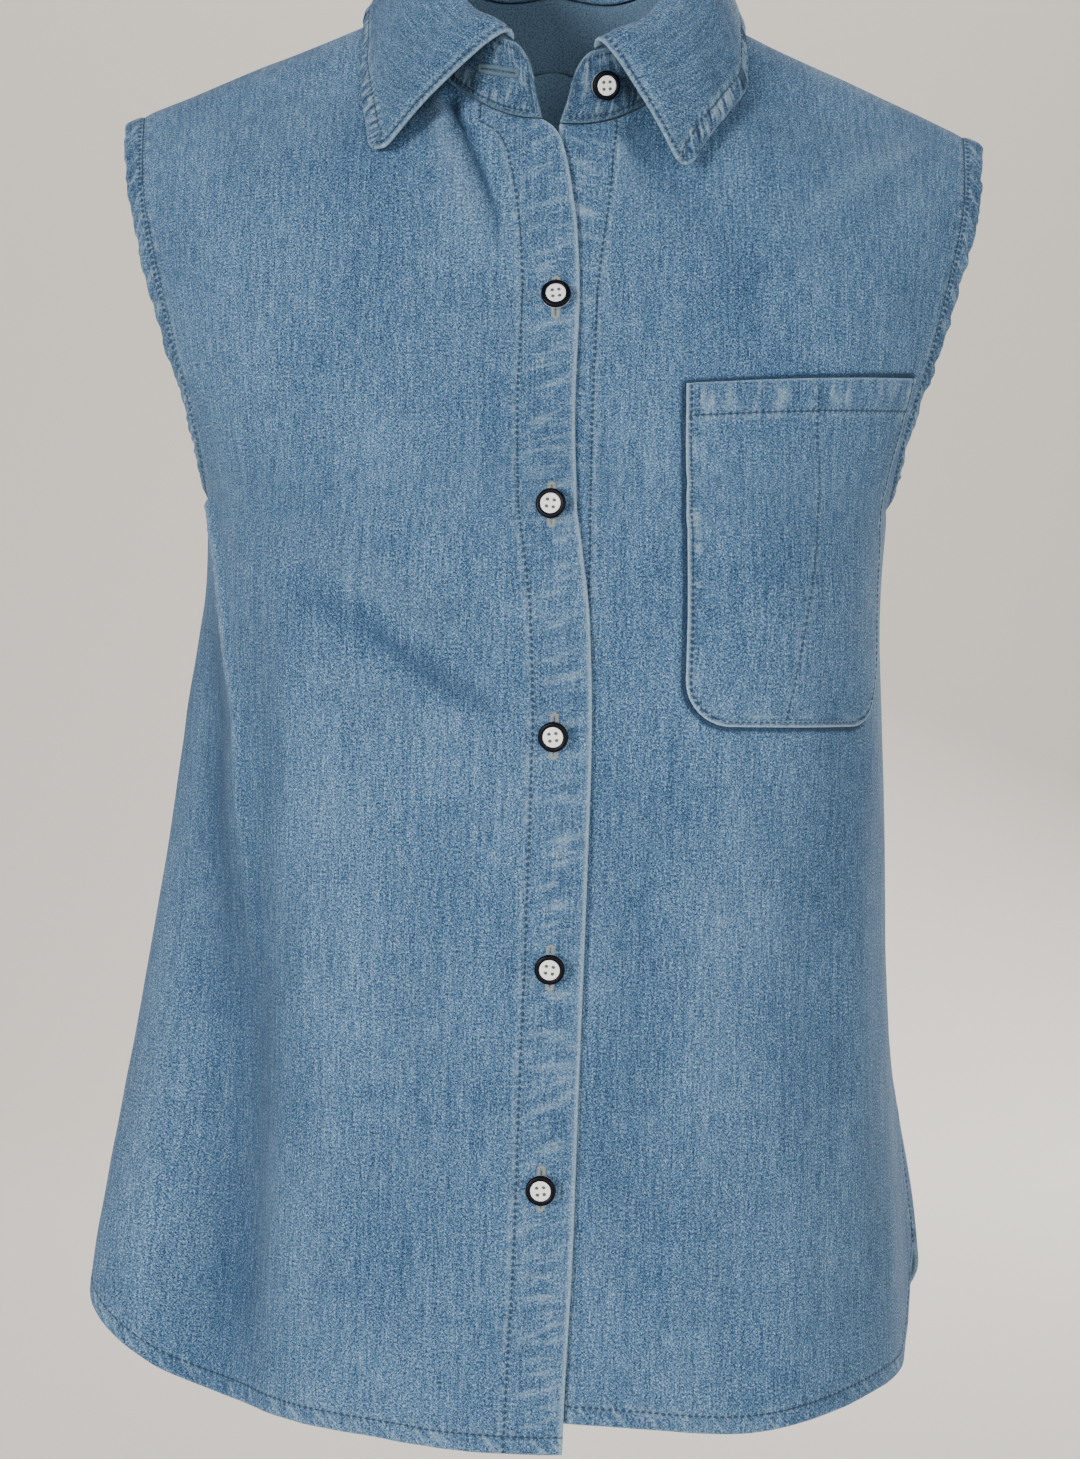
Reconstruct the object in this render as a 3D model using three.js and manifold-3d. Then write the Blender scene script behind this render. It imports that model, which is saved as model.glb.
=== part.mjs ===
// A sleeveless denim shirt, worn: two lapped fronts, a back, a collar on a stand, a chest pocket, bound
// armholes and six buttons. Sizes are in millimetres, +X is the wearer's left, -Y the front and +Z up.
// The origin lies on the middle line, 11 mm below the two neck points, where shoulders carry the cloth.
import * as THREE from "three";
import { mergeVertices } from "three/addons/utils/BufferGeometryUtils.js";
import Module from "manifold-3d";

// Cloth and seams
const CLOTH = 1.2; // wall of one layer of denim
const FOLDED = 2.4; // wall where the cloth is folded on itself
const SEAM_GAP = 0.3; // space between two pieces that are sewn together
const LAP = 12.5; // each front runs this far past the middle line
const PLACKET = 2 * LAP; // width of the folded front edge
const LAP_EASE = 40; // the lapped fronts settle back to one level over this width
const FOLD_STEP = 2; // width over which a folded edge thins to one layer
const HEM = 8; // height of the turned hem
const BINDING = 9; // width of the armhole binding

// Sections of the worn cloth. midY and midZ place a section on the middle line, and edgeX, edgeY and
// edgeZ where it ends, at the side seam or armhole binding. turn is its heading there, in degrees from
// sideways towards the back, and full is how square it runs between the two.
const FRONT_SECTIONS = [
  { at: "below hem", midY: -127, midZ: -650, edgeX: 176, edgeY: 2, edgeZ: -650, turn: 90, full: 1.12 },
  { at: "hip", midY: -127, midZ: -540, edgeX: 167, edgeY: 2, edgeZ: -540, turn: 90, full: 1.12 },
  { at: "waist", midY: -128, midZ: -430, edgeX: 159, edgeY: 2, edgeZ: -430, turn: 90, full: 1.14 },
  { at: "ribs", midY: -129, midZ: -340, edgeX: 154.5, edgeY: 2, edgeZ: -340, turn: 90, full: 1.16 },
  { at: "bust", midY: -124, midZ: -268, edgeX: 151, edgeY: 2, edgeZ: -268, turn: 90, full: 1.15 },
  { at: "underarm", midY: -114, midZ: -216, edgeX: 153.5, edgeY: 2, edgeZ: -216, turn: 90, full: 1.1 },
];
const SHOULDER_SECTIONS = [
  { at: "underarm", midY: -114, midZ: -216, edgeX: 153.5, edgeY: 2, edgeZ: -216, turn: 90, full: 1.1 },
  { at: "foot", midY: -112.7, midZ: -209, edgeX: 152.3, edgeY: -17, edgeZ: -212, turn: 82, full: 1.07 },
  { at: "low", midY: -110.5, midZ: -199, edgeX: 153, edgeY: -32, edgeZ: -200, turn: 74, full: 1.04 },
  { at: "chest", midY: -106, midZ: -182, edgeX: 156, edgeY: -41, edgeZ: -181, turn: 68, full: 1 },
  { at: "upper chest", midY: -97, midZ: -150, edgeX: 164.5, edgeY: -45, edgeZ: -150, turn: 60, full: 0.95 },
  { at: "high chest", midY: -84, midZ: -104, edgeX: 174.5, edgeY: -39, edgeZ: -112, turn: 50, full: 0.9 },
  { at: "front neck", midY: -69, midZ: -58, edgeX: 182, edgeY: -28, edgeZ: -79, turn: 38, full: 0.9 },
  { at: "side neck", midY: -45, midZ: -19, edgeX: 184.5, edgeY: -13, edgeZ: -55, turn: 22, full: 0.9 },
  { at: "fore shoulder", midY: -20, midZ: 24, edgeX: 185.5, edgeY: -2, edgeZ: -43.5, turn: 9, full: 0.9 },
  { at: "shoulder", midY: 4, midZ: 39, edgeX: 186, edgeY: 8, edgeZ: -41, turn: 1, full: 0.9 },
  { at: "rear shoulder", midY: 24, midZ: 34, edgeX: 185.5, edgeY: 18, edgeZ: -43.5, turn: -6, full: 0.9 },
  { at: "side back neck", midY: 42, midZ: 20, edgeX: 184, edgeY: 29, edgeZ: -53, turn: -18, full: 0.9 },
  { at: "back neck", midY: 58, midZ: -4, edgeX: 180, edgeY: 38, edgeZ: -73, turn: -32, full: 0.9 },
  { at: "upper back", midY: 78, midZ: -46, edgeX: 173, edgeY: 45, edgeZ: -105, turn: -44, full: 0.92 },
  { at: "blades", midY: 94, midZ: -94, edgeX: 164, edgeY: 48, edgeZ: -141, turn: -55, full: 0.95 },
  { at: "back", midY: 103, midZ: -142, edgeX: 156, edgeY: 45, edgeZ: -173, turn: -65, full: 1 },
  { at: "low back", midY: 106, midZ: -182, edgeX: 153, edgeY: 35, edgeZ: -197, turn: -76, full: 1.05 },
  { at: "back foot", midY: 107, midZ: -205, edgeX: 152.5, edgeY: 19, edgeZ: -211, turn: -84, full: 1.08 },
  { at: "back underarm", midY: 107, midZ: -216, edgeX: 153.5, edgeY: 2, edgeZ: -216, turn: -90, full: 1.1 },
];
const BACK_SECTIONS = [
  { at: "back underarm", midY: 107, midZ: -216, edgeX: 153.5, edgeY: 2, edgeZ: -216, turn: -90, full: 1.1 },
  { at: "mid back", midY: 106, midZ: -268, edgeX: 151, edgeY: 2, edgeZ: -268, turn: -90, full: 1.1 },
  { at: "back ribs", midY: 102, midZ: -340, edgeX: 154.5, edgeY: 2, edgeZ: -340, turn: -90, full: 1.1 },
  { at: "back waist", midY: 99, midZ: -430, edgeX: 159, edgeY: 2, edgeZ: -430, turn: -90, full: 1.1 },
  { at: "back hip", midY: 106, midZ: -540, edgeX: 167, edgeY: 2, edgeZ: -540, turn: -90, full: 1.1 },
  { at: "below back hem", midY: 112, midZ: -650, edgeX: 176, edgeY: 2, edgeZ: -650, turn: -90, full: 1.1 },
];
const CENTRE_HANDLE = 0.42; // share of a section's span that sets its curve at the middle line
const EDGE_HANDLE = 0.38; // and the same where it ends

// Soft folds, which hang from a height to the hem. round is the place round the body: 0 is centre front, 1
// the side seam and 2 centre back. A fold begins at height from, and has its full depth at height deep.
const FOLDS = [
  { side: -1, from: -216, deep: -310, roundTop: 0.93, roundHem: 0.84, wide: 0.1, out: 5 },
  { side: -1, from: -330, deep: -520, roundTop: 0.66, roundHem: 0.58, wide: 0.13, out: -11 },
  { side: -1, from: -230, deep: -640, roundTop: 1, roundHem: 0.92, wide: 0.2, out: 30 },
  { side: -1, from: -400, deep: -600, roundTop: 1.3, roundHem: 1.32, wide: 0.13, out: -12 },
  { side: -1, from: -330, deep: -560, roundTop: 1.62, roundHem: 1.6, wide: 0.13, out: 9 },
  { side: 1, from: -300, deep: -520, roundTop: 0.46, roundHem: 0.44, wide: 0.13, out: 4 },
  { side: 1, from: -330, deep: -540, roundTop: 1.14, roundHem: 1.14, wide: 0.1, out: 7 },
  { side: 1, from: -380, deep: -580, roundTop: 1.42, roundHem: 1.44, wide: 0.13, out: -11 },
  { side: 1, from: -340, deep: -560, roundTop: 1.7, roundHem: 1.72, wide: 0.11, out: 8 },
];

// Broad swells of a general figure under the cloth
const SWELLS = [
  { at: "bust", round: 0.4, height: -262, wide: 0.24, tall: 56, out: 9 },
  { at: "shoulder blade", round: 1.58, height: -150, wide: 0.22, tall: 60, out: 5 },
];

// How far each front edge runs past the middle line at a height. The neck is worn open.
const RIGHT_EDGE = [
  { height: -650, past: LAP },
  { height: -132, past: LAP },
  { height: -88, past: 8 },
  { height: -68, past: 0 },
  { height: -57, past: -6 },
];
const LEFT_EDGE = [
  { height: -650, past: LAP },
  { height: -100, past: LAP },
  { height: -72, past: 4 },
  { height: -57, past: -5 },
];

// Hems: the lowest point at the middle, and the rise towards the side seam
const HEM_LOW = { front_right: -609, front_left: -597, back: -620 };
const HEM_RISE = [
  { across: 0, front_right: 0, front_left: 0, back: 0 },
  { across: 0.33, front_right: 7, front_left: -5, back: 2 },
  { across: 0.6, front_right: 14, front_left: -4, back: 10 },
  { across: 0.82, front_right: 23, front_left: 2, back: 30 },
  { across: 0.92, front_right: 36, front_left: 14, back: 52 },
  { across: 1, front_right: 59, front_left: 47, back: 72 },
];

// Neckline, collar stand and collar
const NECK_HALF = 65; // from the middle line to a neck point
const STAND_BACK = 34; // height of the stand behind
const STAND_FRONT = 32; // and at its front ends
const STAND_CORNER = 12; // radius of its front corners
const STAND_IN = 0.24; // sideways lean of the stand, as a share of its height
const STAND_FORWARD = 0.3; // and its lean to the front
const COLLAR_LAYER = 2.2; // wall of the collar and of its stand
const COLLAR_SET = 16; // the collar starts this far from the ends of the stand
const ROLL = 7; // rise of the collar over its stand before it falls
// The outer edge of the collar, seen from above on the cloth. along is the share of the collar's length,
// and lift its height over the cloth.
const COLLAR_EDGE = [
  { along: 0, x: -79, y: -70, lift: 4 },
  { along: 0.07, x: -83, y: -54, lift: 4 },
  { along: 0.16, x: -85, y: -36, lift: 4 },
  { along: 0.26, x: -85, y: -14, lift: 4 },
  { along: 0.34, x: -83, y: 8, lift: 4 },
  { along: 0.42, x: -66, y: 36, lift: 4 },
  { along: 0.46, x: -40, y: 56, lift: 4 },
  { along: 0.5, x: 0, y: 67, lift: 4 },
  { along: 0.54, x: 40, y: 56, lift: 4 },
  { along: 0.58, x: 66, y: 36, lift: 4 },
  { along: 0.66, x: 79, y: 8, lift: 4 },
  { along: 0.74, x: 82, y: -14, lift: 4 },
  { along: 0.84, x: 80, y: -36, lift: 5 },
  { along: 0.93, x: 67, y: -54, lift: 7 },
  { along: 1, x: 53, y: -74, lift: 8 },
];

// Pocket on the wearer's left front
// Left and right are distances along the cloth from the middle line, and slant the rise of its top edge.
const POCKET = { left: 55, right: 170, top: -167, bottom: -309, corner: 18, band: 14, slant: 4 };
const POCKET_OUT = 0.5; // space between the pocket and the front

// Buttons
const BUTTON_R = 6;
const BUTTON_THICK = 2.8;
const BUTTON_BEVEL = 0.7;
const BUTTON_WELL_R = 4.2; // the sunk face inside the rim
const BUTTON_WELL = 0.6;
const BUTTON_HOLE_R = 0.75;
const BUTTON_HOLE_AT = 1.25; // the four holes stand this far from the middle, in a square
const BUTTON_HOLE_DEEP = 1.2;
const BUTTON_SIDES = 18;
const HOLE_SIDES = 6;
const BUTTON_HEIGHTS = [-131, -219, -314, -409, -500];
const COLLAR_BUTTON_IN = 20; // from the left end of the stand
const COLLAR_BUTTON_UP = 14; // and from its seam
const COLLAR_BUTTON_OUT = 1; // space that the stand's curve needs under the button

// Mesh rows and columns
const LEVELS = [-500, -452, -405, -362, -328, -298, -270, -243, -216]; // level rows up to the underarm
const HEM_SHARES = [0.35, 0.7]; // rows between the hem fold and the lowest level
// Columns that meet the neckline, as shares of its half
const NECK_SHARES = [0.5, 0.66, 0.8, 0.91, 0.975, 1];
const BACK_NECK_SHARES = [0.24, 0.46, 0.66, 0.82, 0.93, 0.98, 1];
const SIDE_COLUMNS = 9; // columns from the neck point to the side
const WIDE_ROWS = 20; // sections that stand further apart have a row between them
const POCKET_ROWS = 10;
const POCKET_COLUMNS = 8;
const CORNER_STEPS = 3;
const FALL_SPACING = 9; // the widest step between two sections of the collar
const FALL_STEPS = 8;

const denim = new THREE.MeshStandardMaterial({ color: 0x6389b0, roughness: 0.9 });
const pearl = new THREE.MeshStandardMaterial({ color: 0xf1f0ee, roughness: 0.35 });

const lerp = THREE.MathUtils.lerp;
const clamp = THREE.MathUtils.clamp;
const ramp = (x, low, high) => THREE.MathUtils.smoothstep(x, low, high);
const bell = (x) => Math.exp(-x * x);
const steps = (count, from = 0, to = 1) =>
  Array.from({ length: count + 1 }, (_, i) => lerp(from, to, i / count));
const solve = (low, high, isPast) => {
  let [a, b] = [low, high];
  for (let turn = 0; turn < 40; turn += 1) {
    const middle = (a + b) / 2;
    if (isPast(middle)) b = middle;
    else a = middle;
  }
  return (a + b) / 2;
};

// A smooth curve through a table's values, which never overshoots them
function through(knots, values) {
  const slopes = knots.slice(1).map((k, i) => (values[i + 1] - values[i]) / (k - knots[i]));
  const tangents = values.map((_, i) => {
    if (i === 0) return slopes[0];
    if (i === values.length - 1) return slopes[i - 1];
    const [a, b] = [slopes[i - 1], slopes[i]];
    if (a * b <= 0) return 0;
    const [before, after] = [knots[i] - knots[i - 1], knots[i + 1] - knots[i]];
    const [p, q] = [2 * after + before, after + 2 * before];
    return (p + q) / (p / a + q / b);
  });
  return (at) => {
    const v = clamp(at, knots[0], knots[knots.length - 1]);
    let i = 0;
    while (i < knots.length - 2 && v > knots[i + 1]) i += 1;
    const span = knots[i + 1] - knots[i];
    const t = (v - knots[i]) / span;
    const s = 1 - t;
    const start = (1 + 2 * t) * s * s * values[i] + t * s * s * span * tangents[i];
    const end = (1 + 2 * s) * t * t * values[i + 1] - t * t * s * span * tangents[i + 1];
    return start + end;
  };
}
const columnOf = (rows, name) => rows.map((row) => row[name]);
const tableCurve = (rows, knot, value) => through(columnOf(rows, knot), columnOf(rows, value));

// v runs along the cloth, from the front hem over the shoulder to the back hem. A step between two sections
// is the mean of the distances between them at the middle line and at their ends.
function runOf(sections, start) {
  const knots = [start];
  for (let i = 1; i < sections.length; i += 1) {
    const [a, b] = [sections[i - 1], sections[i]];
    const atCentre = Math.hypot(b.midY - a.midY, b.midZ - a.midZ);
    const atEdge = Math.hypot(b.edgeX - a.edgeX, b.edgeY - a.edgeY, b.edgeZ - a.edgeZ);
    knots.push(knots[i - 1] + (atCentre + atEdge) / 2);
  }
  const names = ["midY", "midZ", "edgeX", "edgeY", "edgeZ", "turn", "full"];
  const curves = names.map((name) => [name, through(knots, columnOf(sections, name))]);
  return { knots, end: knots[knots.length - 1], ...Object.fromEntries(curves) };
}
const frontRun = runOf(FRONT_SECTIONS, 0);
const shoulderRun = runOf(SHOULDER_SECTIONS, frontRun.end);
const backRun = runOf(BACK_SECTIONS, shoulderRun.end);
const knotOf = (name) => shoulderRun.knots[SHOULDER_SECTIONS.findIndex((section) => section.at === name)];
const [V_UNDERARM, V_BACK_UNDERARM, V_END] = [frontRun.end, shoulderRun.end, backRun.end];
const [V_FRONT_NECK, V_SHOULDER, V_BACK_NECK] = ["front neck", "shoulder", "back neck"].map(knotOf);
const runAt = (v) => {
  if (v < V_UNDERARM) return frontRun;
  return v > V_BACK_UNDERARM ? backRun : shoulderRun;
};

// One section seen from above, as a curve from the middle line to its end
const planCurves = new Map();
function planCurve(v) {
  const key = v.toFixed(5);
  if (!planCurves.has(key)) {
    const run = runAt(v);
    const start = new THREE.Vector2(0, run.midY(v));
    const end = new THREE.Vector2(run.edgeX(v), run.edgeY(v));
    const reach = start.distanceTo(end) * run.full(v);
    const turn = THREE.MathUtils.degToRad(run.turn(v));
    const heading = new THREE.Vector2(Math.cos(turn), Math.sin(turn));
    const curve = new THREE.CubicBezierCurve(
      start,
      start.clone().add(new THREE.Vector2(reach * CENTRE_HANDLE, 0)),
      end.clone().addScaledVector(heading, -reach * EDGE_HANDLE),
      end,
    );
    curve.arcLengthDivisions = 80;
    planCurves.set(key, curve);
  }
  return planCurves.get(key);
}
const spanAt = (v) => planCurve(v).getLength();

// How far folds and swells push the cloth out at a place round the body and a height
function pushed(side, round, z) {
  let out = 0;
  for (const fold of FOLDS.filter((row) => row.side === side)) {
    const down = clamp((z - fold.from) / (FRONT_SECTIONS[0].midZ - fold.from), 0, 1);
    const middle = lerp(fold.roundTop, fold.roundHem, down);
    out += fold.out * bell((round - middle) / fold.wide) * ramp(-z, -fold.from, -fold.deep);
  }
  for (const swell of SWELLS) {
    out += swell.out * bell((round - swell.round) / swell.wide) * bell((z - swell.height) / swell.tall);
  }
  return out;
}

// The middle of the cloth. side is 1 for the wearer's left. u runs from the middle line, 0, to the side, 1,
// and below 0 onto the other side.
function cloth(side, u, v) {
  const own = u < 0 ? -side : side;
  const across = clamp(Math.abs(u), 0, 1);
  const curve = planCurve(v);
  const at = curve.getPointAt(across);
  const along = curve.getTangentAt(across);
  const facing = v > V_SHOULDER ? -1 : 1;
  const z = lerp(runAt(v).midZ(v), runAt(v).edgeZ(v), across);
  const out = pushed(own, v > V_SHOULDER ? 2 - across : across, z) * facing;
  return new THREE.Vector3(own * (at.x + along.y * out), at.y - along.x * out, z);
}

function normalAt(side, u, v) {
  const [stepU, stepV] = [0.004, 1];
  const across = cloth(side, Math.min(u + stepU, 1), v).sub(cloth(side, Math.min(u, 1) - stepU, v));
  const up = cloth(side, u, Math.min(v + stepV, V_END)).sub(cloth(side, u, Math.max(v - stepV, 0)));
  return up.cross(across).multiplyScalar(-side).normalize();
}

// A closed wall between two grids of points, rows by columns. In a ring the last row meets the first.
function wallOf(outer, inner, ring = false) {
  const [rows, columns] = [outer.length, outer[0].length];
  const points = [...outer.flat(), ...inner.flat()];
  const under = rows * columns;
  const index = [];
  const quad = (a, b, c, d) => index.push(a, b, c, a, c, d);
  const id = (row, col) => (row % rows) * columns + col;
  const lastRow = ring ? rows : rows - 1;
  for (let r = 0; r < lastRow; r += 1) {
    for (let c = 0; c < columns - 1; c += 1) {
      const [a, b, d, e] = [id(r, c), id(r, c + 1), id(r + 1, c + 1), id(r + 1, c)];
      quad(a, b, d, e);
      quad(under + a, under + e, under + d, under + b);
    }
    const [a, b, d, e] = [id(r, 0), id(r + 1, 0), id(r, columns - 1), id(r + 1, columns - 1)];
    quad(a, b, under + b, under + a);
    quad(d, under + d, under + e, e);
  }
  for (let c = 0; !ring && c < columns - 1; c += 1) {
    const [a, b, d, e] = [id(0, c), id(0, c + 1), id(rows - 1, c), id(rows - 1, c + 1)];
    quad(a, under + a, under + b, b);
    quad(d, e, under + e, under + d);
  }
  let volume = 0;
  for (let i = 0; i < index.length; i += 3) {
    const [a, b, c] = [points[index[i]], points[index[i + 1]], points[index[i + 2]]];
    volume += a.dot(b.clone().cross(c));
  }
  if (volume < 0) index.reverse();
  return new THREE.BufferGeometry().setFromPoints(points).setIndex(index);
}

// The two faces of a wall round a grid of middle points
function facesOf(grid, wall) {
  const at = (r) => grid[clamp(r, 0, grid.length - 1)];
  const face = (offset) => grid.map((row, r) => row.map((point, c) => {
    const along = at(r + 1)[c].clone().sub(at(r - 1)[c]);
    const across = row[Math.min(c + 1, row.length - 1)].clone().sub(row[Math.max(c - 1, 0)]);
    return point.clone().addScaledVector(along.cross(across).normalize(), offset);
  }));
  return [face(wall / 2), face(-wall / 2)];
}

const garment = new THREE.Group();
function add(name, geometry, material) {
  const mesh = new THREE.Mesh(geometry, material);
  mesh.name = name;
  garment.add(mesh);
  return mesh;
}

// The neckline is an ellipse in u and v, from centre front through the neck point to centre back.
const NECK_U = solve(0, 1, (u) => planCurve(V_SHOULDER).getPointAt(u).x > NECK_HALF);
const neckV = (u, vMiddle) => {
  const drop = Math.sqrt(1 - Math.min(u / NECK_U, 1) ** 2);
  return V_SHOULDER + (vMiddle - V_SHOULDER) * drop;
};

// v of a height where the sections are level
const vAtHeight = (z, behind) => {
  if (behind) return solve(V_BACK_UNDERARM, V_END, (v) => backRun.midZ(v) < z);
  return solve(0, V_UNDERARM, (v) => frontRun.midZ(v) > z);
};

// Shares of the way from the underarm to the shoulder at which a panel has its rows
function rowShares(vFrom, vTo) {
  const knots = shoulderRun.knots.filter((v) => v >= Math.min(vFrom, vTo) && v <= Math.max(vFrom, vTo));
  const all = knots.flatMap((v, i) => {
    if (i === knots.length - 1) return [v];
    return steps(knots[i + 1] - v > WIDE_ROWS ? 2 : 1, v, knots[i + 1]).slice(0, -1);
  });
  return all.map((v) => (v - vFrom) / (vTo - vFrom)).sort((a, b) => a - b);
}
const frontShares = rowShares(V_UNDERARM, V_SHOULDER);
const backShares = rowShares(V_BACK_UNDERARM, V_SHOULDER);

// The rows of a column, from its hem to its top, each with its v and its height over the hem
function rowsOf(name, across, vTop, behind) {
  const rise = tableCurve(HEM_RISE, "across", name);
  const low = HEM_LOW[name] + rise(Math.abs(across));
  const fold = low + HEM + FOLD_STEP;
  const between = HEM_SHARES.map((share) => lerp(fold, LEVELS[0], share));
  const heights = [low, low + HEM, fold, ...between, ...LEVELS];
  const lower = heights.slice(0, -1).map((z) => ({ v: vAtHeight(z, behind), overHem: z - low }));
  const vFoot = behind ? V_BACK_UNDERARM : V_UNDERARM;
  const upper = (behind ? backShares : frontShares).map((share) => ({
    v: lerp(vFoot, vTop, share),
    overHem: Infinity,
  }));
  return [...lower, ...upper];
}

const foldedWall = (distance, width) => lerp(FOLDED, CLOTH, ramp(distance, width, width + FOLD_STEP));
// A lapped front's outer face over the common surface, at a distance from its front edge
const lapLevel = (over, fromEdge) => {
  const level = over ? SEAM_GAP / 2 + FOLDED : -SEAM_GAP / 2;
  return lerp(level, CLOTH / 2, ramp(fromEdge, PLACKET, PLACKET + LAP_EASE));
};

// Every panel is kept as its outer face, inner face and normals, column by column.
function panelColumn(side, uAt, rows, levelAt, wallAt) {
  const cells = rows.map((row) => {
    const u = uAt(row.v);
    const normal = normalAt(side, u, row.v);
    const outer = cloth(side, u, row.v).addScaledVector(normal, levelAt(u, row.v));
    const wall = Math.max(wallAt(u, row.v), foldedWall(row.overHem, HEM));
    return { outer, normal, inner: outer.clone().addScaledVector(normal, -wall) };
  });
  return {
    outer: cells.map((cell) => cell.outer),
    inner: cells.map((cell) => cell.inner),
    normals: cells.map((cell) => cell.normal),
  };
}
const gridOf = (columns, face) => columns.map((col) => col[face]);
const sideEnd = (v) => 1 - SEAM_GAP / 2 / spanAt(v);

function front(name, side, edges, over) {
  const past = tableCurve(edges, "height", "past");
  const startAt = (v) => -past(runAt(v).midZ(v)) / spanAt(v);
  const wideFrom = (v) => startAt(v) + (PLACKET + FOLD_STEP) / spanAt(v);
  const topStart = wideFrom(V_SHOULDER);
  const placket = [0, LAP, PLACKET, PLACKET + FOLD_STEP].map((distance) => ({
    uTop: startAt(V_SHOULDER) + distance / spanAt(V_SHOULDER),
    uAt: (v) => startAt(v) + distance / spanAt(v),
  }));
  const tops = [
    ...NECK_SHARES.map((share) => NECK_U * share).filter((u) => u > topStart + 0.02),
    ...steps(SIDE_COLUMNS, NECK_U, 1).slice(1),
  ];
  const wide = tops.map((uTop) => ({
    uTop,
    uAt: (v) => lerp(wideFrom(v), sideEnd(v), (uTop - topStart) / (1 - topStart)),
  }));
  const list = [...placket, ...wide];
  const vTopOf = (uTop) => Math.min(neckV(uTop, V_FRONT_NECK), V_SHOULDER - SEAM_GAP / 2);
  const fromEdge = (u, v) => (u - startAt(v)) * spanAt(v);
  const columns = list.map(({ uTop, uAt }) => panelColumn(
    side,
    uAt,
    rowsOf(name, uAt(V_UNDERARM), vTopOf(uTop), false),
    (u, v) => lapLevel(over, fromEdge(u, v)),
    (u, v) => foldedWall(fromEdge(u, v), PLACKET),
  ));
  add(name, wallOf(gridOf(columns, "outer"), gridOf(columns, "inner")), denim);
  return columns.slice(0, list.filter((row) => row.uTop <= NECK_U).length);
}
const rightNeck = front("front_right", -1, RIGHT_EDGE, true);
const leftNeck = front("front_left", 1, LEFT_EDGE, false);

function back() {
  const half = [
    ...BACK_NECK_SHARES.map((share) => share * NECK_U),
    ...steps(SIDE_COLUMNS, NECK_U, 1).slice(1),
  ];
  const all = [...half.map((u) => -u).reverse(), 0, ...half];
  const columns = all.map((signed) => {
    const [side, uTop] = [signed < 0 ? -1 : 1, Math.abs(signed)];
    const vTop = Math.max(neckV(uTop, V_BACK_NECK), V_SHOULDER + SEAM_GAP / 2);
    const rows = rowsOf("back", uTop, vTop, true);
    const column = panelColumn(side, (v) => uTop * sideEnd(v), rows, () => CLOTH / 2, () => CLOTH);
    return { uTop, ...column };
  });
  add("back", wallOf(gridOf(columns, "outer"), gridOf(columns, "inner")), denim);
  return columns.filter((column) => column.uTop < NECK_U);
}
const backNeck = back();

// The neck seam, from the right front's end round the back to the left front's end
const seamPoint = (column) => {
  const last = column.outer.length - 1;
  return { point: column.outer[last].clone().lerp(column.inner[last], 0.5), normal: column.normals[last] };
};
const neckSeam = [...rightNeck, ...backNeck, ...leftNeck.reverse()].map(seamPoint);
const seamLengths = [0];
neckSeam.slice(1).forEach((station, i) => {
  seamLengths.push(seamLengths[i] + station.point.distanceTo(neckSeam[i].point));
});
const seamLength = seamLengths[seamLengths.length - 1];

// The stand rises from the neck seam, leaning forwards and, at the sides, inwards.
const standStations = neckSeam.map(({ point, normal }, i) => {
  const next = neckSeam[Math.min(i + 1, neckSeam.length - 1)].point;
  const along = next.clone().sub(neckSeam[Math.max(i - 1, 0)].point).normalize();
  const out = new THREE.Vector3(-along.y, along.x, 0).normalize();
  const up = new THREE.Vector3(-out.x * STAND_IN, -STAND_FORWARD, 1).normalize();
  const face = up.clone().cross(along).normalize();
  const away = along.clone().cross(normal).normalize();
  const clear = SEAM_GAP + (COLLAR_LAYER / 2) * Math.abs(face.dot(away)) + CLOTH / 2;
  const fromEnd = Math.min(seamLengths[i], seamLength - seamLengths[i]);
  const full = lerp(STAND_FRONT, STAND_BACK, ramp(fromEnd, 0, seamLength / 2));
  const short = STAND_CORNER - Math.min(fromEnd, STAND_CORNER);
  const height = full - STAND_CORNER + Math.sqrt(STAND_CORNER ** 2 - short ** 2);
  const base = point.clone().addScaledVector(away, clear);
  return { base, up, out, height, top: base.clone().addScaledVector(up, height) };
});
const standGrid = standStations.map(({ base, up, height }) =>
  steps(2).map((share) => base.clone().addScaledVector(up, height * share)));
add("collar_stand", wallOf(...facesOf(standGrid, COLLAR_LAYER)), denim);

// The stand at a distance along its seam
function standAt(distance) {
  const i = clamp(seamLengths.findIndex((length) => length > distance) - 1, 0, seamLengths.length - 2);
  const share = (distance - seamLengths[i]) / (seamLengths[i + 1] - seamLengths[i]);
  const [a, b] = [standStations[i], standStations[i + 1]];
  const names = ["base", "top", "up", "out"];
  return Object.fromEntries(names.map((name) => [name, a[name].clone().lerp(b[name], share)]));
}

// The place on the cloth above a point of the plan, near the neck
function clothAbove(x, y) {
  const side = x < 0 ? -1 : 1;
  let u = clamp(Math.abs(x) / spanAt(V_SHOULDER), 0, 1);
  const behind = y > shoulderRun.midY(V_SHOULDER);
  let v = (V_SHOULDER + (behind ? V_BACK_NECK : V_FRONT_NECK)) / 2;
  for (let turn = 0; turn < 30; turn += 1) {
    const here = cloth(side, u, v);
    const du = cloth(side, u + 0.002, v).sub(here).divideScalar(0.002);
    const dv = cloth(side, u, v + 0.5).sub(here).divideScalar(0.5);
    const [missX, missY] = [x - here.x, y - here.y];
    const size = du.x * dv.y - dv.x * du.y;
    u = clamp(u + (0.7 * (missX * dv.y - missY * dv.x)) / size, 0, 1);
    const stepV = clamp((0.7 * (missY * du.x - missX * du.y)) / size, -20, 20);
    v = clamp(v + stepV, V_UNDERARM, V_BACK_UNDERARM);
  }
  return { point: cloth(side, u, v), normal: normalAt(side, u, v) };
}

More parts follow.
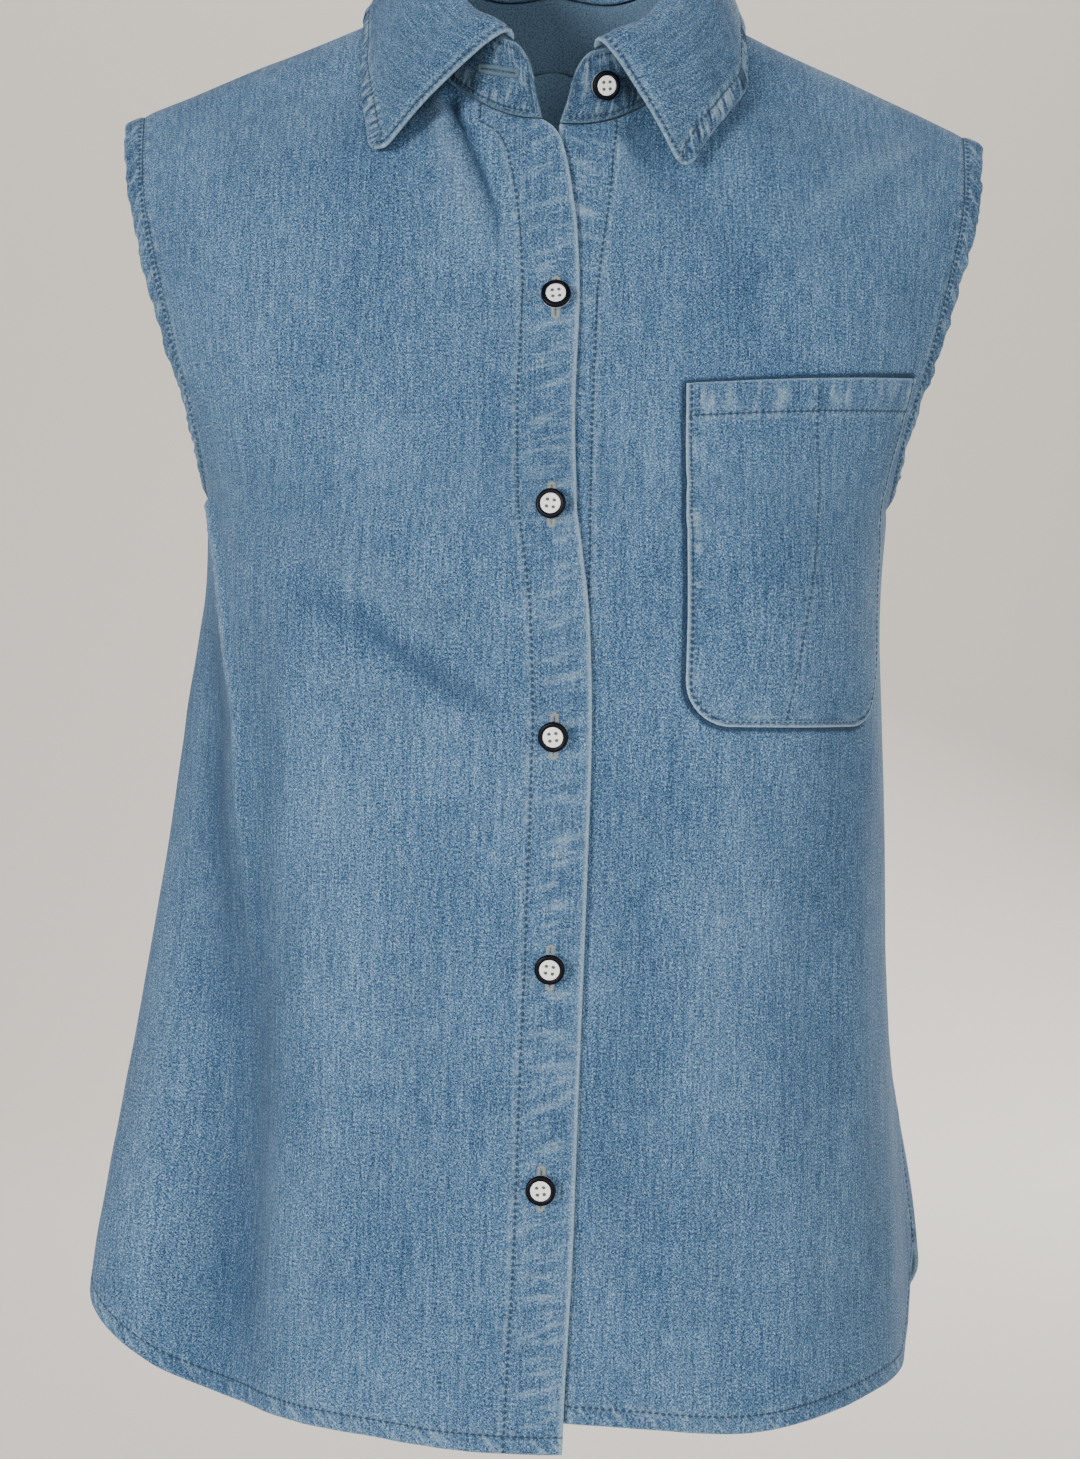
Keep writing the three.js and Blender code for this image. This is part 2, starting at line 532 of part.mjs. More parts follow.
// The collar rises from the stand's top edge, rolls over and falls to its edge on the body.
const edgeX = tableCurve(COLLAR_EDGE, "along", "x");
const edgeY = tableCurve(COLLAR_EDGE, "along", "y");
const edgeLift = tableCurve(COLLAR_EDGE, "along", "lift");
const fallEnds = [COLLAR_SET, seamLength - COLLAR_SET];
const fallInner = seamLengths.filter((at) => at > fallEnds[0] && at < fallEnds[1]);
const fallStops = [fallEnds[0], ...fallInner, fallEnds[1]];
const fallPlaces = fallStops.slice(1).flatMap((at, i) =>
  steps(Math.ceil((at - fallStops[i]) / FALL_SPACING), fallStops[i], at).slice(1));
const fallGrid = [fallEnds[0], ...fallPlaces].map((distance) => {
  const along = (distance - fallEnds[0]) / (fallEnds[1] - fallEnds[0]);
  const stand = standAt(distance);
  const start = stand.top.clone().addScaledVector(stand.up, 2 * SEAM_GAP);
  const roll = start.clone().addScaledVector(stand.up, ROLL).addScaledVector(stand.out, ROLL / 2);
  const below = clothAbove(edgeX(along), edgeY(along));
  const end = below.point.clone().addScaledVector(below.normal, edgeLift(along));
  const lean = roll.clone().lerp(end, 0.5).addScaledVector(below.normal, ROLL);
  const rise = start.clone().addScaledVector(stand.up, 2 * ROLL);
  const curve = new THREE.CubicBezierCurve3(start, rise, lean, end);
  return steps(FALL_STEPS).map((share) => curve.getPoint(share ** 1.3));
});
add("collar", wallOf(...facesOf(fallGrid, COLLAR_LAYER)), denim);

// The armhole bindings carry on from the panels' edges, as rings.
function binding(name, side) {
  const stations = [
    ...frontShares.map((share) => lerp(V_UNDERARM, V_SHOULDER, share)),
    ...backShares.map((share) => lerp(V_BACK_UNDERARM, V_SHOULDER, share)).reverse().slice(1),
  ].slice(0, -1);
  const edge = stations.map((v) => cloth(side, 1, v));
  const count = stations.length;
  const faces = [CLOTH, -CLOTH].map((level) => stations.map((v, i) => {
    const along = edge[(i + 1) % count].clone().sub(edge[(i - 1 + count) % count]);
    const normal = normalAt(side, 1, v);
    const away = along.cross(normal).multiplyScalar(side).normalize();
    return steps(2).map((share) => edge[i].clone()
      .addScaledVector(away, SEAM_GAP + share * BINDING)
      .addScaledVector(normal, level));
  }));
  add(name, wallOf(faces[0], faces[1], true), denim);
}
binding("armhole_binding_right", -1);
binding("armhole_binding_left", 1);

// The pocket lies on the left front. Its top edge is folded, and its lower corners are round.
function pocket() {
  const { left, right, top, bottom, corner, band, slant } = POCKET;
  const cornerStops = steps(CORNER_STEPS, 0, Math.PI / 2).map((angle) => corner * (1 - Math.cos(angle)));
  const distances = [
    ...cornerStops.map((step) => left + step),
    ...steps(POCKET_COLUMNS, left + corner, right - corner).slice(1, -1),
    ...cornerStops.map((step) => right - step).reverse(),
  ];
  const placeAt = (distance, height) => {
    const uAt = (v) => distance / spanAt(v);
    const zAt = (v) => lerp(runAt(v).midZ(v), runAt(v).edgeZ(v), uAt(v));
    const v = solve(0, V_SHOULDER, (at) => zAt(at) > height);
    const u = uAt(v);
    const normal = normalAt(1, u, v);
    const level = lapLevel(false, distance + LAP) + POCKET_OUT;
    return { normal, point: cloth(1, u, v).addScaledVector(normal, level) };
  };
  const columns = distances.map((distance) => {
    const inset = Math.max(corner - (distance - left), corner - (right - distance), 0);
    const low = bottom + corner - Math.sqrt(corner ** 2 - inset ** 2);
    const high = top + slant * ((distance - left) / (right - left));
    const heights = [
      ...steps(POCKET_ROWS, low, high - band - FOLD_STEP),
      high - band,
      high,
    ];
    return heights.map((height, row) => {
      const { normal, point } = placeAt(distance, height);
      const wall = row > POCKET_ROWS ? FOLDED : CLOTH;
      return { inner: point, outer: point.clone().addScaledVector(normal, wall) };
    });
  });
  const face = (name) => columns.map((column) => column.map((cell) => cell[name]));
  add("pocket", wallOf(face("outer"), face("inner")), denim);
}
pocket();

// Solids that are joined or cut
const wasm = await Module();
wasm.setup();
function solidOf(geometry) {
  const bare = geometry.clone();
  ["normal", "uv"].forEach((name) => bare.deleteAttribute(name));
  const merged = mergeVertices(bare, 1e-4);
  const mesh = new wasm.Mesh({
    numProp: 3,
    vertProperties: new Float32Array(merged.attributes.position.array),
    triVerts: new Uint32Array(merged.index.array),
  });
  return new wasm.Manifold(mesh);
}
function geometryOf(solid) {
  const mesh = solid.getMesh();
  const geometry = new THREE.BufferGeometry();
  geometry.setAttribute("position", new THREE.BufferAttribute(new Float32Array(mesh.vertProperties), 3));
  geometry.setIndex(new THREE.BufferAttribute(new Uint32Array(mesh.triVerts), 1));
  return geometry;
}

// One button, lying with its back on the XY plane and its face up
function buttonGeometry() {
  const rim = (BUTTON_R + BUTTON_WELL_R) / 2;
  const profile = [
    [0, 0],
    [BUTTON_R - BUTTON_BEVEL, 0],
    [BUTTON_R, BUTTON_BEVEL],
    [BUTTON_R, BUTTON_THICK - BUTTON_BEVEL],
    [rim, BUTTON_THICK],
    [BUTTON_WELL_R, BUTTON_THICK - BUTTON_WELL],
    [0, BUTTON_THICK - BUTTON_WELL],
  ].map(([x, y]) => new THREE.Vector2(x, y));
  let solid = solidOf(new THREE.LatheGeometry(profile, BUTTON_SIDES).rotateX(Math.PI / 2));
  for (const [sx, sy] of [[1, 1], [-1, 1], [-1, -1], [1, -1]]) {
    const hole = new THREE.CylinderGeometry(BUTTON_HOLE_R, BUTTON_HOLE_R, BUTTON_HOLE_DEEP, HOLE_SIDES);
    hole.rotateX(Math.PI / 2);
    hole.translate(sx * BUTTON_HOLE_AT, sy * BUTTON_HOLE_AT, BUTTON_THICK - BUTTON_WELL);
    solid = solid.subtract(solidOf(hole));
  }
  return geometryOf(solid);
}
const buttonShape = buttonGeometry();
function button(name, back, normal) {
  const mesh = add(name, buttonShape, pearl);
  mesh.quaternion.setFromUnitVectors(new THREE.Vector3(0, 0, 1), normal);
  mesh.position.copy(back);
}
BUTTON_HEIGHTS.forEach((height, i) => {
  const v = height > SHOULDER_SECTIONS[0].midZ
    ? solve(V_UNDERARM, V_FRONT_NECK, (at) => shoulderRun.midZ(at) > height)
    : vAtHeight(height, false);
  const normal = normalAt(-1, 0, v);
  const level = lapLevel(true, 0) + SEAM_GAP;
  button("button_" + (i + 1), cloth(-1, 0, v).addScaledVector(normal, level), normal);
});
const collarPlace = standAt(seamLength - COLLAR_BUTTON_IN);
const collarNormal = collarPlace.out.clone()
  .addScaledVector(collarPlace.up, -collarPlace.out.dot(collarPlace.up))
  .normalize();
const collarBack = collarPlace.base.clone()
  .addScaledVector(collarPlace.up, COLLAR_BUTTON_UP)
  .addScaledVector(collarNormal, COLLAR_LAYER / 2 + COLLAR_BUTTON_OUT);
button("button_collar", collarBack, collarNormal);

export default garment;
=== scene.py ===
import math
import bmesh
import bpy
import numpy as np
from mathutils import Matrix, Vector


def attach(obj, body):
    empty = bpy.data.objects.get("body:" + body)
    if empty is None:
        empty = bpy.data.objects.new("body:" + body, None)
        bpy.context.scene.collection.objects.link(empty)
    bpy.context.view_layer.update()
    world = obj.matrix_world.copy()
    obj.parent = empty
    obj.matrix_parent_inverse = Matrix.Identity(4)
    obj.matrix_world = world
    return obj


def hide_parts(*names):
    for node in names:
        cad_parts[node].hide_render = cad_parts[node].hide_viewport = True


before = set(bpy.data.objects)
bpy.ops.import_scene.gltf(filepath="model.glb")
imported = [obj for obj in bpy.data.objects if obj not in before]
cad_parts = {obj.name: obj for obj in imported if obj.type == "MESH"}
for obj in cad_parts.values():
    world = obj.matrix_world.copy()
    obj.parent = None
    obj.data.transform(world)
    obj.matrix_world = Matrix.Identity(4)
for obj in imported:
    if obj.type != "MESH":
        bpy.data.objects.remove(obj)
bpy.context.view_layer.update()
print("frame loaded")

# ---- sizes of the garment in millimetres: +X the wearer's left, -Y the front, +Z up
garment = {
    "wall": 1.0, "foldedWall": 1.9,  # one layer of cloth, and cloth folded on itself
    "clothLevel": 0.6, "foldLevel": 2.4,  # heights of the outer faces over the common surface
    "seamGap": 0.3, "lap": 12.5, "placket": 25.0, "lapEase": 40.0, "foldStep": 2.0,
    "hem": 8.0, "binding": 9.0, "neckHalf": 65.0, "neckHeight": -52.5,
}
sectionNames = ("midY", "midZ", "edgeX", "edgeY", "edgeZ", "turn", "full")
frontSections = [
    (-127, -650, 176, 2, -650, 90, 1.12), (-127, -540, 167, 2, -540, 90, 1.12),
    (-128, -430, 159, 2, -430, 90, 1.14), (-129, -340, 154.5, 2, -340, 90, 1.16),
    (-124, -268, 151, 2, -268, 90, 1.15), (-114, -216, 153.5, 2, -216, 90, 1.1),
]
shoulderSections = [
    (-114, -216, 153.5, 2, -216, 90, 1.1), (-112.7, -209, 152.3, -17, -212, 82, 1.07),
    (-110.5, -199, 153, -32, -200, 74, 1.04), (-106, -182, 156, -41, -181, 68, 1),
    (-97, -150, 164.5, -45, -150, 60, 0.95), (-84, -104, 174.5, -39, -112, 50, 0.9),
    (-69, -58, 182, -28, -79, 38, 0.9), (-45, -19, 184.5, -13, -55, 22, 0.9),
    (-20, 24, 185.5, -2, -43.5, 9, 0.9), (4, 39, 186, 8, -41, 1, 0.9),
    (24, 34, 185.5, 18, -43.5, -6, 0.9), (42, 20, 184, 29, -53, -18, 0.9),
    (58, -4, 180, 38, -73, -32, 0.9), (78, -46, 173, 45, -105, -44, 0.92),
    (94, -94, 164, 48, -141, -55, 0.95), (103, -142, 156, 45, -173, -65, 1),
    (106, -182, 153, 35, -197, -76, 1.05), (107, -205, 152.5, 19, -211, -84, 1.08),
    (107, -216, 153.5, 2, -216, -90, 1.1),
]
backSections = [
    (107, -216, 153.5, 2, -216, -90, 1.1), (106, -268, 151, 2, -268, -90, 1.1),
    (102, -340, 154.5, 2, -340, -90, 1.1), (99, -430, 159, 2, -430, -90, 1.1),
    (106, -540, 167, 2, -540, -90, 1.1), (112, -650, 176, 2, -650, -90, 1.1),
]
namedSections = {"frontNeck": 6, "shoulder": 9, "backNeck": 12}
handles = {"middle": 0.42, "edge": 0.38}
# side, from, deep, round at its top, round at the hem, wide, out
folds = [
    (-1, -216, -310, 0.93, 0.84, 0.1, 5), (-1, -330, -520, 0.66, 0.58, 0.13, -11),
    (-1, -230, -640, 1, 0.92, 0.2, 30), (-1, -400, -600, 1.3, 1.32, 0.13, -12),
    (-1, -330, -560, 1.62, 1.6, 0.13, 9), (1, -300, -520, 0.46, 0.44, 0.13, 4),
    (1, -330, -540, 1.14, 1.14, 0.1, 7), (1, -380, -580, 1.42, 1.44, 0.13, -11),
    (1, -340, -560, 1.7, 1.72, 0.11, 8), (1, -430, -560, 1.05, 1.05, 0.1, 9),
]
swells = [(0.4, -262, 0.24, 56, 9), (1.58, -150, 0.22, 60, 5)]  # round, height, wide, tall, out
rightEdge = [  # height, past the middle
    (-650, 11), (-590, 12.2), (-525, 14.4), (-463, 15.3), (-381, 16.8), (-316, 17.6), (-267, 15.9), (-238, 12.5),
    (-218, 10), (-177, 8.8), (-131, 10), (-106, 9.1), (-79, 5.7), (-63, 2.1), (-56, -1.5), (-50, -9),
]
leftEdge = [(-650, 12.5), (-300, 9), (-206, 8.6), (-128, 6.6), (-80, 1.5), (-56, -0.3), (-50, -1)]
hemLow = {"right": -611, "left": -597, "back": -620}
hemRise = {  # share of the width, rise
    "right": [
        (0, 0), (0.16, 1), (0.3, 4.6), (0.43, 6.5), (0.6, 8.5), (0.72, 15.5), (0.78, 22.8), (0.84, 32), (0.9, 42),
        (1, 61)],
    "left": [(0, 0), (0.19, -3.5), (0.36, -7), (0.54, -3), (0.7, 0.5), (0.82, 1.5), (0.92, 14), (1, 47)],
    "back": [(0, 0), (0.33, 2), (0.6, 10), (0.82, 30), (0.92, 52), (1, 72)],
}


def lerp(a, b, share):
    return a + (b - a) * share


def ramp(x, low, high):
    t = np.clip((x - low) / (high - low), 0, 1)
    return t * t * (3 - 2 * t)


def bell(x):
    return np.exp(-np.square(x))


def through(knots, values):  # a smooth curve through a table, which never overshoots it
    knots, values = np.array(knots, float), np.array(values, float)
    gaps = np.diff(knots)
    slopes = np.diff(values) / gaps
    tangents = np.zeros_like(values)
    tangents[0], tangents[-1] = slopes[0], slopes[-1]
    for i in range(1, len(values) - 1):
        a, b = slopes[i - 1], slopes[i]
        if a * b > 0:
            p, q = 2 * gaps[i] + gaps[i - 1], gaps[i] + 2 * gaps[i - 1]
            tangents[i] = (p + q) / (p / a + q / b)

    def curve(at):
        v = np.clip(at, knots[0], knots[-1])
        i = np.clip(np.searchsorted(knots, v, side="right") - 1, 0, len(knots) - 2)
        span = gaps[i]
        t = (v - knots[i]) / span
        s = 1 - t
        start = (1 + 2 * t) * s * s * values[i] + t * s * s * span * tangents[i]
        end = (1 + 2 * s) * t * t * values[i + 1] - t * t * s * span * tangents[i + 1]
        return start + end

    return curve


def unit(vectors):
    return vectors / np.maximum(np.linalg.norm(vectors, axis=-1, keepdims=True), 1e-9)


def wobble(x, seed):  # smooth noise along a line, from -1 to 1, with one swing a unit
    table = np.random.RandomState(seed).uniform(-1, 1, 512)
    at = np.floor(x).astype(int)
    t = x - at
    t = t * t * (3 - 2 * t)
    return lerp(table[at % 512], table[(at + 1) % 512], t)


def unrest(x, y, seed):  # the same over a plane
    table = np.random.RandomState(seed).uniform(-1, 1, (128, 128))
    i, j = np.floor(x).astype(int), np.floor(y).astype(int)
    s, t = x - i, y - j
    s, t = s * s * (3 - 2 * s), t * t * (3 - 2 * t)
    low = lerp(table[i % 128, j % 128], table[(i + 1) % 128, j % 128], s)
    high = lerp(table[i % 128, (j + 1) % 128], table[(i + 1) % 128, (j + 1) % 128], s)
    return lerp(low, high, t)


# ---- the surface of the worn cloth: v runs from the front hem over the shoulder to the back hem
def runOf(sections, start):
    rows = np.array(sections, float)
    middle = np.linalg.norm(np.diff(rows[:, 0:2], axis=0), axis=1)
    edge = np.linalg.norm(np.diff(rows[:, 2:5], axis=0), axis=1)
    knots = start + np.concatenate([[0], np.cumsum((middle + edge) / 2)])
    return knots, [through(knots, rows[:, i]) for i in range(len(sectionNames))]


runs = [runOf(frontSections, 0)]
runs.append(runOf(shoulderSections, runs[0][0][-1]))
runs.append(runOf(backSections, runs[1][0][-1]))
vUnderarm, vBackUnderarm, vEnd = (run[0][-1] for run in runs)
vFrontNeck, vShoulder, vBackNeck = (runs[1][0][namedSections[n]] for n in ("frontNeck", "shoulder", "backNeck"))


def sectionAt(v):
    v = np.asarray(v, float)
    which = np.where(v < vUnderarm, 0, np.where(v > vBackUnderarm, 2, 1))
    values = np.zeros(v.shape + (len(sectionNames),))
    for i, (knots, curves) in enumerate(runs):
        here = which == i
        for j, curve in enumerate(curves):
            values[..., j][here] = curve(v[here])
    return values


def bezier(points, t):
    a, b, c, d = (p for p in points)
    t, s = t[..., None], 1 - t[..., None]
    place = a * s ** 3 + b * 3 * s * s * t + c * 3 * s * t * t + d * t ** 3
    heading = (b - a) * 3 * s * s + (c - b) * 6 * s * t + (d - c) * 3 * t * t
    return place, unit(heading)


def planAt(across, v, parts=28):  # a section seen from above, by its share of length
    midY, midZ, edgeX, edgeY, edgeZ, turn, full = np.moveaxis(sectionAt(v), -1, 0)
    reach = np.hypot(edgeX, edgeY - midY) * full
    turn = np.radians(turn)
    start = np.stack([0 * midY, midY], -1)
    end = np.stack([edgeX, edgeY], -1)
    heading = np.stack([np.cos(turn), np.sin(turn)], -1)
    second = start + np.stack([reach * handles["middle"], 0 * reach], -1)
    third = end - heading * (reach * handles["edge"])[..., None]
    points = [start, second, third, end]
    t = np.linspace(0, 1, parts + 1)
    along = bezier([p[..., None, :] for p in points], np.broadcast_to(t, v.shape + t.shape))[0]
    lengths = np.cumsum(np.linalg.norm(np.diff(along, axis=-2), axis=-1), axis=-1)
    lengths = np.concatenate([np.zeros(v.shape + (1,)), lengths], -1)
    target = across * lengths[..., -1]
    k = np.clip((lengths[..., 1:] < target[..., None]).sum(-1), 0, parts - 1)[..., None]
    low, high = np.take_along_axis(lengths, k, -1), np.take_along_axis(lengths, k + 1, -1)
    share = (k + (target[..., None] - low) / np.maximum(high - low, 1e-9))[..., 0] / parts
    place, along = bezier(points, share)
    return place, along, lengths[..., -1], lerp(midZ, edgeZ, across)


vTable = np.linspace(0, vEnd, 1600)
spanTable = planAt(0 * vTable, vTable)[2]
middleTable, edgeTable = sectionAt(vTable)[:, 1], sectionAt(vTable)[:, 4]
spread = bell(np.arange(-45, 46) / 17)
spanTable = np.convolve(np.pad(spanTable, 45, mode="edge"), spread / spread.sum(), "valid")


def spanAt(v):
    return np.interp(v, vTable, spanTable)


rising = vTable <= vShoulder
vFrontNeck = np.interp(garment["neckHeight"], middleTable[rising], vTable[rising])


def vAtHeight(z, behind):
    keep = vTable >= vBackUnderarm if behind else vTable <= vUnderarm
    v, heights = vTable[keep], middleTable[keep]
    return np.interp(-z, -heights, v) if behind else np.interp(z, heights, v)


def pushed(side, around, z):
    out = np.zeros(z.shape)
    for own, start, deep, roundTop, roundHem, wide, push in folds:
        down = np.clip((z - start) / (-650 - start), 0, 1)
        fold = push * bell((around - lerp(roundTop, roundHem, down)) / wide) * ramp(-z, -start, -deep)
        out += np.where(side == own, fold, 0)
    for around0, height, wide, tall, push in swells:
        out += push * bell((around - around0) / wide) * bell((z - height) / tall)
    return out


def rawCloth(side, u, v):
    own = np.where(u < 0, -side, side)
    across = np.clip(np.abs(u), 0, 1)
    place, along, span, z = planAt(across, v)
    behind = v > vShoulder
    out = pushed(own, np.where(behind, 2 - across, across), z) * np.where(behind, -1, 1)
    return np.stack([own * (place[..., 0] + along[..., 1] * out), place[..., 1] - along[..., 0] * out, z], -1)


def clothAt(side, u, v):  # the level of the underarm is smoothed, where two runs of sections meet
    u, v = np.broadcast_arrays(np.asarray(u, float), np.asarray(v, float))
    near = bell((v - vUnderarm) / 34) + bell((v - vBackUnderarm) / 34)
    wide = 20 * near * (1 - ramp(np.abs(u), 0.8, 0.98))
    total = 0
    for offset, weight in ((-0.75, 0.3), (0, 0.4), (0.75, 0.3)):
        total = total + weight * rawCloth(side, u, np.clip(v + offset * wide, 0, vEnd))
    return total


def normalAt(side, u, v):
    u, v = np.broadcast_arrays(np.asarray(u, float), np.asarray(v, float))
    across = clothAt(side, np.minimum(u + 0.004, 1), v) - clothAt(side, np.minimum(u, 1) - 0.004, v)
    up = clothAt(side, u, np.minimum(v + 1, vEnd)) - clothAt(side, u, np.maximum(v - 1, 0))
    return unit(np.cross(up, across) * -np.asarray(side)[..., None])


# ---- soft creases: points (distance from the middle line, height), width, depth, open start,
# and the painted light there (painted shade in a trough, painted highlight on a ridge), where that isn't left to the
# depth
creases = {
    "front": [
        ([(-45, -44), (-39, -58), (-34, -71), (-28, -87), (-25, -101), (-24, -112)], 3.4, -5.0, True, -2.2),
        ([(-52, -48), (-46, -66), (-39, -84), (-34, -108)], 6.0, 2.4, True, 0.3),
        ([(-112, -250), (-75, -270), (-53, -286), (-31, -299), (-18, -306)], 5.6, -3.2, False, -1.05),
        ([(-118, -228), (-84, -246), (-56, -266), (-34, -282)], 13.0, 1.8, False, 0.15),
        ([(-104, -280), (-64, -304), (-38, -320)], 11.0, 0.8, False),
        ([(-184, -218), (-169, -241), (-157, -279), (-148, -303), (-142, -363), (-139, -440)], 3.2, 3.2, True, 0.75),
        ([(-190, -250), (-168, -310), (-160, -380), (-162, -450)], 13.0, -3.4, False, -1.15),
        ([(-126, -250), (-128, -330), (-132, -400)], 12.0, -2.2, False, -0.6),
        ([(-130, -360), (-140, -430), (-146, -500), (-148, -560), (-147, -604)], 23.0, -7.4, False, -1.05),
        ([(-186, -400), (-188, -470), (-188, -570)], 14.0, 3.4, False, 0.15),
        ([(-88, -330), (-96, -420), (-100, -520), (-98, -600)], 20.0, 1.2, False),
        ([(-50, -350), (-56, -450), (-58, -560)], 17.0, -1.6, False, -0.24),
        ([(-30, -132), (-44, -128), (-62, -118)], 6.0, -0.7, False),
        ([(-30, -222), (-46, -228), (-66, -242)], 7.0, -0.8, False),
        ([(-30, -412), (-48, -420), (-66, -436)], 7.0, -0.7, False),
        ([(178, -58), (152, -76), (124, -96), (98, -114)], 7.0, -1.6, False),
        ([(172, -44), (146, -62), (118, -82), (90, -100)], 7.0, 1.1, False),
        ([(184, -108), (160, -132), (134, -152)], 8.0, -1.0, False),
        ([(34, -52), (46, -72), (64, -96), (88, -122)], 6.0, -1.8, True, -0.5),
        ([(24, -50), (30, -72), (40, -100)], 5.0, 1.2, True),
        ([(34, -326), (36, -400), (39, -480), (38, -560)], 15.0, -1.8, False, -0.34),
        ([(66, -316), (70, -420), (72, -520), (66, -600)], 19.0, 1.1, False),
        ([(112, -330), (114, -430), (116, -540)], 18.0, -1.5, False, -0.22),
        ([(150, -330), (152, -430), (156, -540)], 14.0, 1.6, False),
        ([(30, -330), (52, -352), (82, -368)], 8.0, -1.0, False),
        ([(30, -494), (44, -506), (60, -524)], 7.0, -0.7, False),
    ],
    "back": [
        ([(-168, -120), (-132, -150), (-96, -176), (-60, -190)], 11.0, -2.0, False),
        ([(170, -112), (136, -140), (100, -170), (70, -188)], 12.0, -2.2, False),
        ([(-40, -30), (-62, -70), (-74, -120)], 10.0, -1.2, False),
        ([(44, -28), (60, -64), (70, -108)], 9.0, -1.0, False),
        ([(-24, -210), (-30, -330), (-38, -470), (-44, -600)], 20.0, 3.2, False),
        ([(-78, -250), (-86, -380), (-96, -500), (-100, -596)], 18.0, -3.0, False),
        ([(-134, -290), (-142, -420), (-148, -560)], 16.0, 2.6, False),
        ([(30, -240), (34, -360), (38, -480), (36, -604)], 17.0, -2.6, False),
        ([(84, -260), (92, -390), (98, -520), (100, -590)], 19.0, 3.0, False),
        ([(140, -280), (148, -400), (154, -540)], 15.0, -2.2, False),
        ([(-150, -226), (-120, -244), (-86, -252)], 8.0, -1.4, False),
        ([(152, -230), (118, -250), (82, -262)], 8.0, -1.4, False),
    ],
}


def creased(kind, distance, height):
    out, paint = np.zeros(distance.shape), np.zeros(distance.shape)
    for points, wide, deep, openStart, *painted in creases[kind]:
        nearest, place = np.full(distance.shape, 1e9), np.zeros(distance.shape)
        points = np.array(points, float)
        total = len(points) - 1
        for i in range(total):
            a, b = points[i], points[i + 1]
            d = b - a
            t = np.clip(((distance - a[0]) * d[0] + (height - a[1]) * d[1]) / d.dot(d), 0, 1)
            far = np.hypot(distance - a[0] - t * d[0], height - a[1] - t * d[1])
            place = np.where(far < nearest, (i + t) / total, place)
            nearest = np.minimum(far, nearest)
        taper = np.cos(np.pi / 2 * place) if openStart else np.sin(np.pi * place)
        taper = np.clip(taper, 0, 1) ** 0.7
        narrow = wide * (0.55 if wide < 5 else 1)
        out += deep * bell(nearest / wide) * taper
        # painted shade along each trough and painted highlight along each ridge, beside the relief
        paint += (painted[0] if painted else deep / wide) * bell(nearest / narrow) * taper
    return out, np.clip(paint, -1.4, 0.8)


def softness(distance, height, seed):  # the small unevenness that no cloth is without
    slow = 0.55 * unrest(distance / 34 + 40, height / 60 + 40, seed)
    return slow + 0.16 * unrest(distance / 11 + 60, height / 17 + 60, seed + 1)


# ---- meshes
def doubleGrid(columns, rows):  # two faces of cloth that share their border, in places from 0 to 1
    bm = bmesh.new()
    bmesh.ops.create_grid(bm, x_segments=columns, y_segments=rows, size=0.5)
    bmesh.ops.translate(bm, verts=bm.verts, vec=(0.5, 0.5, 0))
    copied = bmesh.ops.duplicate(bm, geom=bm.verts[:] + bm.edges[:] + bm.faces[:])["geom"]
    bmesh.ops.reverse_faces(bm, faces=[f for f in copied if isinstance(f, bmesh.types.BMFace)])
    inner = [v for v in copied if isinstance(v, bmesh.types.BMVert) and not v.is_boundary]
    bmesh.ops.translate(bm, verts=inner, vec=(0, 0, -1))
    bmesh.ops.remove_doubles(bm, verts=bm.verts, dist=1e-6)
    return bm


def pieceOf(name, bm, material, replaces=(), smooth=True):
    mesh = bpy.data.meshes.new(name)
    bm.to_mesh(mesh)
    bm.free()
    piece = bpy.data.objects.new(name, mesh)
    bpy.context.scene.collection.objects.link(piece)
    mesh.materials.append(material)
    mesh.polygons.foreach_set("use_smooth", [smooth] * len(mesh.polygons))
    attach(piece, "root")
    if replaces:
        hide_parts(*replaces)
    return piece


def clothPiece(name, middle, half, cover, distances, material, replaces, outward):
    # middle: rows by columns of points; half: half thickness there; cover: the pattern's places
    rows, columns = middle.shape[:2]
    normals = unit(np.cross(np.gradient(middle, axis=1), np.gradient(middle, axis=0)))
    if (normals * outward).sum() < 0:
        normals = -normals
    outer, inner = middle + normals * half[..., None], middle - normals * half[..., None]
    bm = doubleGrid(columns - 1, rows - 1)
    piece = pieceOf(name, bm, material, replaces)
    mesh = piece.data
    flat = np.empty(len(mesh.vertices) * 3)
    mesh.vertices.foreach_get("co", flat)
    at = flat.reshape(-1, 3)
    column = np.rint(at[:, 0] * (columns - 1)).astype(int)
    row = np.rint(at[:, 1] * (rows - 1)).astype(int)
    inside = at[:, 2] < -0.5
    placed = np.where(inside[:, None], inner[row, column], outer[row, column]) / 1000
    mesh.vertices.foreach_set("co", placed.ravel())
    corner = np.empty(len(mesh.loops), int)
    mesh.loops.foreach_get("vertex_index", corner)
    uvs = cover[row, column][corner] / 1000
    mesh.uv_layers.new(name="cloth").data.foreach_set("uv", uvs.ravel())
    for label, values in distances.items():
        attribute = mesh.attributes.new(label, "FLOAT", "POINT")
        attribute.data.foreach_set("value", values[row, column])
    attribute = mesh.attributes.new("inside", "FLOAT", "POINT")
    attribute.data.foreach_set("value", inside.astype(float))
    mesh.update()
    faces = bmesh.new()
    faces.from_mesh(mesh)
    if faces.calc_volume(signed=True) < 0:
        bmesh.ops.reverse_faces(faces, faces=faces.faces)
        faces.to_mesh(mesh)
    faces.free()
    return piece, outer, normals


def edgeRound(distance, half):  # thickness falls away round an edge
    return np.sqrt(np.clip(1 - np.square(1 - np.clip(distance / half, 0, 1)), 0, 1))


def areaOf(grid):
    across, up = np.diff(grid, axis=1)[:-1], np.diff(grid, axis=0)[:, :-1]
    return np.linalg.norm(np.cross(across, up), axis=-1).sum() / 1e6


edgeStops = np.array([0, 0.12, 0.4, 0.8])


def spaced(start, end, step):
    return np.linspace(start, end, max(2, int(round(abs(end - start) / step)) + 1))


